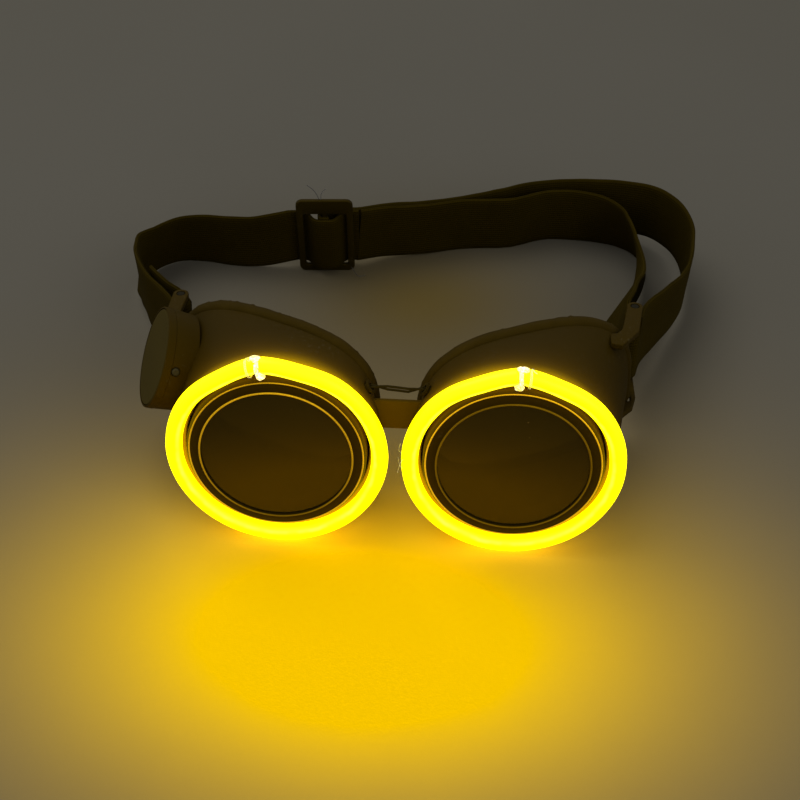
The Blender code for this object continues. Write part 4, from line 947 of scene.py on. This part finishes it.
def add_joint_details(side):
    """Glue and tie at the tube's joint, all in the joint's own frame."""
    name = SIDES[side]
    local = LENS_FRAME[side] @ joint_frame(side)
    lean = 0.0004 * side
    above = TUBE_RING + TUBE_RADIUS + 0.0002
    below = TUBE_RING - TUBE_RADIUS - 0.0004
    drops = {
        "upper": ((lean, above, -0.0002), (0.0019, 0.0008, 0.0013)),
        "lower": ((-lean, below, 0.0006), (0.0014, 0.0010, 0.0012)),
        "front": ((0.0, TUBE_RING + 0.0003, TUBE_RADIUS + 0.00005), (0.0006, 0.0022, 0.0004)),
    }
    for index, (label, (centre, size)) in enumerate(drops.items()):
        bm = lumpy(centre, size, 3.1 * index + side)
        bmesh.ops.transform(bm, matrix=local, verts=bm.verts)
        drop = add_object(f"{name}_glue_{label}", bm, GLUE, 60)
        dress(drop, f"{name}_cup", "clear_tie")
    here = LENS_FRAME[side] @ joint_frame(side, TIE_OFFSET)
    reach = TUBE_RADIUS + TIE_RISE
    route = []
    for step in range(TIE_STEPS + 1):
        angle = math.tau * 2 * step / TIE_STEPS
        x = -0.0004 + 0.0008 * step / TIE_STEPS
        route.append((x, TUBE_RING + reach * math.cos(angle), reach * math.sin(angle)))
    route += [(0.0007, TUBE_RING + 0.0030, 0.0008), (0.0014, TUBE_RING + 0.0029, 0.0012)]
    wire = tube([moved(here, place) for place in route], TIE_RADIUS, 8)
    tie = add_object(f"{name}_clear_tie", wire, CLEAR, 60)
    dress(tie, f"{name}_cup", "clear_tie", f"{name}_tube_tie")


for SIDE in SIDES:
    add_tube(SIDE)
    add_joint_details(SIDE)


def add_threads(name, routes, matrix, radius, material, body, slot):
    """Three loose hairs, each a curve through three places."""
    for letter, places in zip("abc", routes):
        line = [moved(matrix, place) for place in smooth_route(places, 0.0006)]
        hair = add_object(f"{name}_{letter}", tube(line, radius, 6), material, 60)
        dress(hair, body, slot)


CLEAR_ROUTES = (
    ((-0.0338, -0.0030, 0.0010), (-0.0348, -0.0010, 0.0022), (-0.0354, 0.0022, 0.0020)),
    ((-0.0340, 0.0010, 0.0012), (-0.0350, -0.0012, 0.0024), (-0.0355, -0.0042, 0.0018)),
    ((-0.0341, 0.0022, 0.0006), (-0.0352, 0.0044, 0.0014), (-0.0348, 0.0066, 0.0010)),
)
lens_here = LENS_FRAME[RIGHT]
add_threads("clear_thread", CLEAR_ROUTES, lens_here, 0.00006, CLEAR, "right_cup", "clear_tie")

# %% [markdown]
# ## Face edging
# A soft rolled bead sits behind each rim where it meets the face. It is a closed tube round the
# opening, drawn out forwards to meet the rim. Its surface is a little uneven and has ragged bits
# of flash on it, so a slow noise swells it and a sharp one raises small nicks.

# %% Edging
BEAD_RADIUS = 0.0022
BEAD_DEPTH = 0.0305
BEAD_LIP = 0.0008
BEAD_SECTIONS = 220
BEAD_SIDES = 20


def add_edging(side):
    name = SIDES[side]
    line = rim_ring(WALL / 2, BEAD_DEPTH, side, BEAD_SECTIONS)
    rings = []
    for i, place in enumerate(line):
        along = (line[(i + 1) % BEAD_SECTIONS] - line[i - 1]).normalized()
        centre = Vector((side * RIM_CENTRE[0], RIM_CENTRE[1], place.z))
        across = along.cross(place - centre).normalized()
        outward = across.cross(along).normalized()
        ring = []
        for c, s in turns(BEAD_SIDES):
            spot = c * outward + s * across
            here = place + 0.0021 * spot
            swell = 0.00022 * noise.noise(here * 190)
            nick = max(0.0, noise.noise(here * 620 + Vector((5.0, side, 0))) - 0.34)
            lip = Vector((0, 0, BEAD_LIP * max(0.0, spot.z)))
            bead = place + (BEAD_RADIUS + swell + 0.0011 * nick) * spot + lip
            ring.append(moved(LENS_FRAME[side], bead))
        rings.append(ring)
    obj = add_object(f"{name}_soft_edging", skin(rings, closed=True), RUBBER, 60)
    mark(obj, "near", nearness)
    dress(obj, f"{name}_cup", "soft_rubber", f"{name}_face_edging")


for SIDE in SIDES:
    add_edging(SIDE)

# %% [markdown]
# ## Nose strip
# A short flexible strip joins the cups through a slot in each, with a thick head inside. It
# crosses the joint between the cups, and its long sides have points in between.

# %% Nose strip
STRIP_HALF = 0.00075
STRIP_TALL = 0.0105
HEAD_HALF = 0.0023
HEAD_START = 0.0104
HEAD_END = 0.0126


def bend_over_nose(obj, node):
    """Fix a piece where it is, over the nose between the cups, and take a CAD node's place."""
    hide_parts(node)
    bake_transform(obj)


strip_head = [
    (-HEAD_START, -STRIP_HALF),
    (-HEAD_START, -HEAD_HALF),
    (-HEAD_END, -HEAD_HALF),
    (-HEAD_END, HEAD_HALF),
    (-HEAD_START, HEAD_HALF),
    (-HEAD_START, STRIP_HALF),
]
spans = [-HEAD_START + 2 * HEAD_START * step / 20 for step in range(1, 20)]
strip_outline = strip_head + [(x, STRIP_HALF) for x in spans]
strip_outline += [(-x, z) for x, z in strip_head[::-1]] + [(x, -STRIP_HALF) for x in spans[::-1]]
strip_place = (
    LENS_PLANE
    @ Matrix.Translation((0, BRIDGE_HEIGHT, -BRIDGE_DEPTH))
    @ Matrix.Rotation(math.radians(-90), 4, "X")
)
strip = add_object("nose_strip", plate(strip_outline, STRIP_TALL, strip_place, 0.0003), BRIDGE, 50)
mark(strip, "near", nearness)
bend_over_nose(strip, "nose_bridge")

# %% [markdown]
# ## Strap
# One length of webbing is sewn at the left lug, weaves through the slider, loops round the
# right lug and comes back as a second layer to the slider's middle bar. The route's chosen
# points are the ones that the solid strap follows. Each is (x, y, z, lean) before the shift to
# the scene's place.

# %% Strap route
STRAP_FLOOR = 0.0126
SLIDER_CENTRE = (-0.0334, 0.1160, 0.0176)
STRAP_BELOW_SLIDER = 0.0017
SLIDER_TURN = math.radians(3.5)
BAR_TO_STRAP = 0.0025
WRAP_RADIUS = 0.00095
STRAP_SHIFT = Vector((MIDDLE[0], MIDDLE[1], 0))


def slider_point(along, towards):
    """Point at a distance along the strap and towards the lenses from the slider's middle."""
    x = SLIDER_CENTRE[0] + along * math.cos(SLIDER_TURN) + towards * math.sin(SLIDER_TURN)
    y = SLIDER_CENTRE[1] + along * math.sin(SLIDER_TURN) - towards * math.cos(SLIDER_TURN)
    return (x, y, SLIDER_CENTRE[2] - STRAP_BELOW_SLIDER, 0.0)


def beside_bar(side, out, back, rise, lean=0.0):
    """Point of the strap outwards, backwards and upwards from a strap bar's middle."""
    bar_y = math.sin(LEAN) * BAR_HEIGHT[side] + math.cos(LEAN) * BAR_DEPTH
    bar_z = RING_HEIGHT + math.cos(LEAN) * BAR_HEIGHT[side] - math.sin(LEAN) * BAR_DEPTH
    return (side * (RING_SPACING / 2 + BAR_OUT + out), bar_y + back, bar_z + rise, lean)


def bar_point(side, degrees):
    """Middle of the strap on its way round a strap bar; 0 is straight out sideways."""
    out = BAR_TO_STRAP * math.cos(math.radians(degrees))
    back = BAR_TO_STRAP * math.sin(math.radians(degrees))
    return beside_bar(side, out, back * math.cos(LEAN), -back * math.sin(LEAN))


def middle_bar_wrap():
    """Route round the slider's middle bar, from behind it to the front."""
    route = [slider_point(0.0022, -0.00175)]
    for start, middle in ((270, -0.0008), (180, 0.0008)):
        for step in range(4):
            angle = math.radians(start - 30 * step)
            along = -0.0010 + WRAP_RADIUS * math.cos(angle)
            route.append(slider_point(along, middle + WRAP_RADIUS * math.sin(angle)))
    return route + [slider_point(0.0016, 0.00175)]


LEFT_TAIL = [
    beside_bar(LEFT, 0.0141, 0.0197, -0.0020),
    beside_bar(LEFT, 0.0106, 0.0152, -0.0016),
    beside_bar(LEFT, 0.0066, 0.0106, -0.0012),
    beside_bar(LEFT, 0.0018, 0.0064, -0.0008),
]
REAR_LEFT = [
    beside_bar(LEFT, 0.0086, 0.0072, -0.0004),
    beside_bar(LEFT, 0.0150, 0.0154, -0.0012),
    (-0.0958, 0.0815, 0.0228, 0.0),
    (-0.0990, 0.0910, 0.0192, 0.06),
    (-0.1008, 0.0995, 0.0156, 0.14),
    (-0.0993, 0.1065, 0.0134, 0.17),
    (-0.0950, 0.1122, 0.0128, 0.17),
    (-0.0885, 0.1157, 0.0128, 0.12),
    (-0.0800, 0.1168, STRAP_FLOOR, 0.06),
    (-0.0700, 0.1160, STRAP_FLOOR, 0.0),
    (-0.0610, 0.1157, 0.0130, 0.0),
    (-0.0530, 0.1161, 0.0146, 0.0),
]
WEAVE_HALF = ((0.0125, -0.00185), (0.0093, -0.00185), (0.0073, -0.00155))
WEAVE_HALF += ((0.0056, 0.0002), (0.0043, 0.0022), (0.0026, 0.0033))
WEAVE = [slider_point(-along, towards) for along, towards in WEAVE_HALF]
WEAVE.append(slider_point(0.0, 0.00345))
WEAVE += [slider_point(along, towards) for along, towards in WEAVE_HALF[::-1]]
INNER_PLY = [
    (-0.0120, 0.1221, 0.0150, 0.0),
    (0.0030, 0.1262, 0.0134, 0.0),
    (0.0180, 0.1307, STRAP_FLOOR, 0.0),
    (0.0340, 0.1323, STRAP_FLOOR, 0.0),
    (0.0400, 0.1340, STRAP_FLOOR, 0.0),
    (0.0460, 0.1367, STRAP_FLOOR, 0.0),
    (0.0520, 0.1383, STRAP_FLOOR, 0.0),
    (0.0610, 0.1385, STRAP_FLOOR, 0.0),
    (0.0713, 0.1366, STRAP_FLOOR, 0.08),
    (0.0785, 0.1328, STRAP_FLOOR, 0.20),
    (0.0830, 0.1270, STRAP_FLOOR, 0.32),
    (0.0844, 0.1180, 0.0135, 0.30),
    (0.0832, 0.1060, 0.0150, 0.12),
    (0.0804, 0.0940, 0.0178, -0.15),
    beside_bar(RIGHT, 0.0002, 0.0280, -0.0080, -0.35),
    beside_bar(RIGHT, -0.0020, 0.0160, -0.0038, -0.30),
    beside_bar(RIGHT, -0.0029, 0.0075, -0.0012, -0.15),
]
OUTER_PLY = [
    beside_bar(RIGHT, 0.0048, 0.0062, -0.0008),
    beside_bar(RIGHT, 0.0125, 0.0190, -0.0052),
    (0.0950, 0.0880, 0.0186, 0.0),
    (0.0996, 0.0985, 0.0168, 0.0),
    (0.1015, 0.1090, 0.0169, 0.0),
    (0.1018, 0.1172, 0.0172, 0.0),
    (0.0996, 0.1248, 0.0181, 0.0),
    (0.0960, 0.1310, 0.0179, 0.0),
    (0.0902, 0.1366, 0.0174, 0.0),
    (0.0818, 0.1400, 0.0165, 0.0),
    (0.0720, 0.1418, 0.0157, 0.0),
    (0.0615, 0.1424, 0.0150, 0.0),
    (0.0510, 0.1420, 0.0144, 0.0),
    (0.0410, 0.1402, 0.0138, 0.0),
    (0.0315, 0.1370, 0.0132, 0.0),
    (0.0170, 0.1325, 0.0127, 0.0),
    (0.0030, 0.1280, 0.0135, 0.0),
    (-0.0120, 0.1238, 0.0150, 0.0),
    slider_point(0.0125, -0.00345),
    slider_point(0.0093, -0.00345),
    slider_point(0.0060, -0.0030),
    slider_point(0.0036, -0.0021),
]
BAR_TURN = (165, 195, 225, 255, 285, 315, 340)
STEP_LENGTH = 0.0009
left_part = LEFT_TAIL + [bar_point(LEFT, degrees) for degrees in BAR_TURN] + REAR_LEFT
right_part = INNER_PLY + [bar_point(RIGHT, degrees) for degrees in BAR_TURN] + OUTER_PLY
ROUTE_LEFT = smooth_route(left_part + WEAVE[:1], STEP_LENGTH)
ROUTE_WEAVE = smooth_route(WEAVE, STEP_LENGTH)
ROUTE_RIGHT = smooth_route(WEAVE[-1:] + right_part, STEP_LENGTH)
ROUTE_END = smooth_route(OUTER_PLY[-1:] + middle_bar_wrap(), 0.0004)

# %% [markdown]
# The band has a rounded-edge section that is carried along the route. Its direction across
# stays upright and leans only as the webbing does, or as its bar does near a lug. The top edge
# wavers slightly, as cut elastic does when it relaxes. The band is skinned in six lengths whose
# seams meet exactly, and the two lengths at the slider ride on it.

# %% Band
STRAP_WIDTH = 0.0250
STRAP_THICKNESS = 0.0013


def band_section():
    """Corners (out, up, distance across) round the band: flat faces and rounded edges."""
    half = STRAP_WIDTH / 2
    thick = STRAP_THICKNESS / 2
    points = []
    for i in range(13):
        points.append((-thick, -half + thick + (STRAP_WIDTH - 2 * thick) * i / 12))
    high = half - 0.2 * thick
    points += [(-thick * 0.6, high), (0.0, half), (thick * 0.6, high)]
    for i in range(13):
        points.append((thick, half - thick - (STRAP_WIDTH - 2 * thick) * i / 12))
    return points + [(thick * 0.6, -high), (0.0, -half), (-thick * 0.6, -high)]


SECTION = band_section()


def band_places(route):
    """(place, along, up, out) at each point of a route."""
    places = []
    for i, (x, y, z, lean) in enumerate(route):
        before = Vector(route[max(i - 1, 0)][:3])
        after = Vector(route[min(i + 1, len(route) - 1)][:3])
        along = (after - before).normalized()
        up = Vector((0, 0, 1))
        up = (up - along * up.dot(along)).normalized()
        beside_lug = min(1.0, max(0.0, (0.0850 - y) / 0.0250))
        up = Quaternion(along, lean - LEAN * beside_lug * along.x) @ up
        places.append((Vector((x, y, z)) + STRAP_SHIFT, along, up, along.cross(up)))
    return places


WHOLE_LEFT = band_places(ROUTE_LEFT + ROUTE_WEAVE[1:])
WHOLE_RIGHT = band_places(ROUTE_RIGHT + ROUTE_END[1:])


def add_band(name, places, seed, start=0.0):
    distances = [start]
    for (a, *_), (b, *_) in zip(places, places[1:]):
        distances.append(distances[-1] + (b - a).length)
    rings = []
    for (place, along, up, out), distance in zip(places, distances):
        ring = []
        for t, h in SECTION:
            edge = max(0.0, h / (STRAP_WIDTH / 2) - 0.6) / 0.4
            waver = 0.00028 * edge * noise.noise(Vector((distance * 90, 3.0, seed)))
            drift = 0.00010 * noise.noise(Vector((distance * 160, h * 120, seed + 4.0)))
            ring.append(place + up * (h + waver) + out * (t + drift))
        rings.append(ring)

    def tile(row, column):
        t, h = SECTION[column % len(SECTION)]
        side = 0.0 if column % len(SECTION) < 15 else 0.03
        return (distances[min(row, len(distances) - 1)], h + side)

    obj = add_object(name, skin(rings, tile=tile), WEBBING, 60)
    return obj


def first_past(places, x):
    """Index of the first place beyond a given x."""
    return next(i for i, (place, *_) in enumerate(places) if place.x > x)


LOOP_START = 0.030
left_end = len(ROUTE_LEFT) - 1
split = first_past(WHOLE_RIGHT, LOOP_START)
back = len(WHOLE_RIGHT) - 1 - first_past(WHOLE_RIGHT[::-1], LOOP_START)
end_start = len(ROUTE_RIGHT) - 12
strap_left = add_band("strap_left", WHOLE_LEFT[: left_end + 1], 1.0)
strap_weave = add_band("strap_weave", WHOLE_LEFT[left_end:], 1.0, 0.30)
strap_inner = add_band("strap_inner", WHOLE_RIGHT[: split + 1], 2.0)
strap_loop = add_band("strap_right_loop", WHOLE_RIGHT[split : back + 1], 2.0)
strap_outer = add_band("strap_outer", WHOLE_RIGHT[back : end_start + 1], 2.0)
strap_end = add_band("strap_sewn_end", WHOLE_RIGHT[end_start:], 2.0)
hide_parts("elastic_strap")
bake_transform(strap_left)
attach(strap_weave, "slider")
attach(strap_end, "slider")

# Three loose ends of yarn stick out above and below the slider.
FRAYED_ROUTES = (
    ((-0.0340, 0.0500, 0.0340), (-0.0358, 0.0503, 0.0385), (-0.0386, 0.0506, 0.0412)),
    ((-0.0338, 0.0500, 0.0340), (-0.0334, 0.0502, 0.0378), (-0.0318, 0.0508, 0.0396)),
    ((-0.0232, 0.0480, 0.0035), (-0.0205, 0.0455, 0.0013), (-0.0176, 0.0452, 0.0022)),
)
add_threads("frayed_thread", FRAYED_ROUTES, Matrix(), 0.00012, THREAD, "slider", "webbing")

for PIECE in (strap_inner, strap_outer):
    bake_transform(PIECE)
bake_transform(strap_loop)

# %% [markdown]
# ## Slider
# The three-bar slider is a flat frame with two windows. Booleans cut the windows through it, and
# then every edge is rounded, because moulded bars have no sharp corners.

# %% Slider
SLIDER_SIZE = (0.0210, 0.0350, 0.0016)
WINDOW_SIZE = (0.0070, 0.0256, 0.0032)
WINDOW_OFFSET = 0.0045


def rounded_rectangle(width, height, radius):
    outline = []
    for corner, (sx, sy) in enumerate(((1, 1), (-1, 1), (-1, -1), (1, -1))):
        for step in range(7):
            angle = math.radians(90 * corner + 15 * step)
            x = sx * (width / 2 - radius) + radius * math.cos(angle)
            outline.append((x, sy * (height / 2 - radius) + radius * math.sin(angle)))
    return outline


slider_place = (
    Matrix.Translation(Vector(SLIDER_CENTRE) + STRAP_SHIFT)
    @ Matrix.Rotation(SLIDER_TURN, 4, "Z")
    @ Matrix.Rotation(math.radians(90), 4, "X")
)
slider_outline = rounded_rectangle(*SLIDER_SIZE[:2], 0.0025)
slider = add_object("three_bar_slider", plate(slider_outline, SLIDER_SIZE[2], slider_place), SLIDER)
window_outline = rounded_rectangle(*WINDOW_SIZE[:2], 0.0007)
window_steps = []
for SIGN in (-1, 1):
    spot = slider_place @ Matrix.Translation((SIGN * WINDOW_OFFSET, -STRAP_BELOW_SLIDER, 0))
    window = plate(window_outline, WINDOW_SIZE[2], spot)
    window_steps.append(("DIFFERENCE", bare_object("window", window)))
carve(slider, window_steps)
bm = bmesh.new()
bm.from_mesh(slider.data)
bmesh.ops.dissolve_limit(bm, angle_limit=0.01, verts=bm.verts, edges=bm.edges)
creases = [
    edge for edge in bm.edges if len(edge.link_faces) == 2 and edge.calc_face_angle() > 1.2
]
round_off(bm, creases, 0.00035)
bm.to_mesh(slider.data)
bm.free()
slider.data.shade_smooth()
slider.data.set_sharp_from_angle(angle=math.radians(40))
dress(slider, "slider", "slider_plastic", "strap_slider")

# %% [markdown]
# ## Pieces kept from the frame
# The rest are hard turned or flat pieces whose shape is right as it is. They only need their
# material.

# %% Materials of the kept nodes
KEPT = (
    (TRAY, "battery_tray", "button_switch"),
    (BOARD, "circuit_board"),
    (STEEL, "coin_cell_1", "coin_cell_2"),
    (BRASS, "cover_contact"),
    (KEY, "power_button"),
    (CORE, "left_led_filament", "right_led_filament"),
    (RUBBER, "left_lens_gasket", "right_lens_gasket", "left_lead_grommet", "right_lead_grommet"),
    (BLACK_STEEL, "left_strap_bar", "right_strap_bar"),
    (LEAD, "left_light_lead"),
)
for MATERIAL, *NODES in KEPT:
    for NODE in NODES:
        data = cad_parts[NODE].data
        data.materials.clear()
        data.materials.append(MATERIAL)
print("kept nodes", sum(len(NODES) for _, *NODES in KEPT))

# %% [markdown]
# ## Leads over the nose
# The two leads to the right light cross the bridge hinge. Their solids have the right shape,
# and a copy of each with its doubled points merged is shaded smooth and takes its place.

# %% Blended leads
for NODE in ("right_light_lead_a", "right_light_lead_b"):
    bm = bmesh.new()
    bm.from_mesh(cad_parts[NODE].data)
    bmesh.ops.transform(bm, matrix=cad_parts[NODE].matrix_world, verts=bm.verts)
    bmesh.ops.remove_doubles(bm, verts=bm.verts, dist=MERGE)
    lead = add_object(NODE.replace("right_light", "over_nose"), bm, LEAD, 60)
    bend_over_nose(lead, NODE)

# %% [markdown]
# ## Floor and light
# The goggles lie on a plain grey table under soft light. A phone's exposure lets the tubes flood
# the table in front of them with amber, far more than a lamp of their true strength would. That
# pool of light is painted into the table's colour: a smooth hump, wide and shallow, that fades
# with the distance from a point in front of the nose strip. A fainter painted haze lies between
# the cups and the strap: amber light of the tubes, with shade of the cups and strap in it.

# %% Floor, lamps and world
POOL_CENTRE = (-0.0062, -0.1094)
POOL_SIZE = (0.1787, 0.1057)
POOL_GAIN = 1.456
POOL_POWER = 4.84
PAINTED_HAZE_CENTRE = (0.004, 0.035)
PAINTED_HAZE_SIZE = (0.075, 0.055)
PAINTED_HAZE_GAIN = 0.8


def spread_from(place, centre, size):
    """1 at a centre, growing with the square of the distance from it."""
    x, y = place
    across = (x - centre[0]) / size[0]
    deep = (y - centre[1]) / size[1]
    return 1.0 + across * across + deep * deep


def table_material():
    shade = Shade("table", Specular_IOR_Level=0.0)
    slow = shade.noise(6.0, 3.0, 0.5)
    fine = shade.noise(900.0, 3.0, 0.6)
    blotch = shade.noise(38.0, 4.0, 0.55)
    place = shade.axes(shade.place)
    # Painted light: the pool of the tubes' amber light on the table.
    spread = spread_from(place, POOL_CENTRE, POOL_SIZE)
    hump = POOL_GAIN / spread.math("POWER", spread, POOL_POWER)
    pool = hump.math("MINIMUM", hump * (0.96 + 0.08 * blotch), 1.0)
    plain = shade.mix(slow, colour(0.086, 0.080, 0.064), colour(0.096, 0.089, 0.073))
    # Painted light and shade: the amber haze between the cups and the strap.
    spread = spread_from(place, PAINTED_HAZE_CENTRE, PAINTED_HAZE_SIZE)
    painted_haze = PAINTED_HAZE_GAIN / (spread * spread * spread)
    plain = shade.mix(painted_haze, plain, colour(0.093, 0.062, 0.011))
    speck = 1.0 + 0.05 * (fine - 0.5)
    tone = shade.mix(pool * speck, plain, colour(1.0, 0.60, 0.0))
    return shade.surface(tone, 0.7 + 0.1 * (fine - 0.5), fine, 0.00003)


bm = bmesh.new()
bmesh.ops.create_grid(bm, x_segments=1, y_segments=1, size=6.0)
table_top = add_object("table_top", bm, table_material())


def lamp(name, place, aim, size, power):
    data = bpy.data.lights.new(name, "AREA")
    data.shape = "RECTANGLE"
    data.size = size
    data.size_y = size
    data.energy = power
    obj = link(name, data)
    obj.location = place
    obj.rotation_euler = (Vector(aim) - Vector(place)).to_track_quat("-Z", "Y").to_euler()


lamp("key", (-0.5, 0.4, 1.3), (0, 0, 0), 1.0, 10.0)
lamp("fill", (0.9, -0.7, 0.9), (0, 0, 0.02), 0.8, 3.4)
world = bpy.data.worlds.new("studio")
world.use_nodes = True
bpy.context.scene.world = world
back_light = world.node_tree.nodes["Background"]
back_light.inputs["Color"].default_value = colour(0.98, 0.99, 1.0)
back_light.inputs["Strength"].default_value = 0.47
bpy.context.scene.view_settings.view_transform = "Standard"
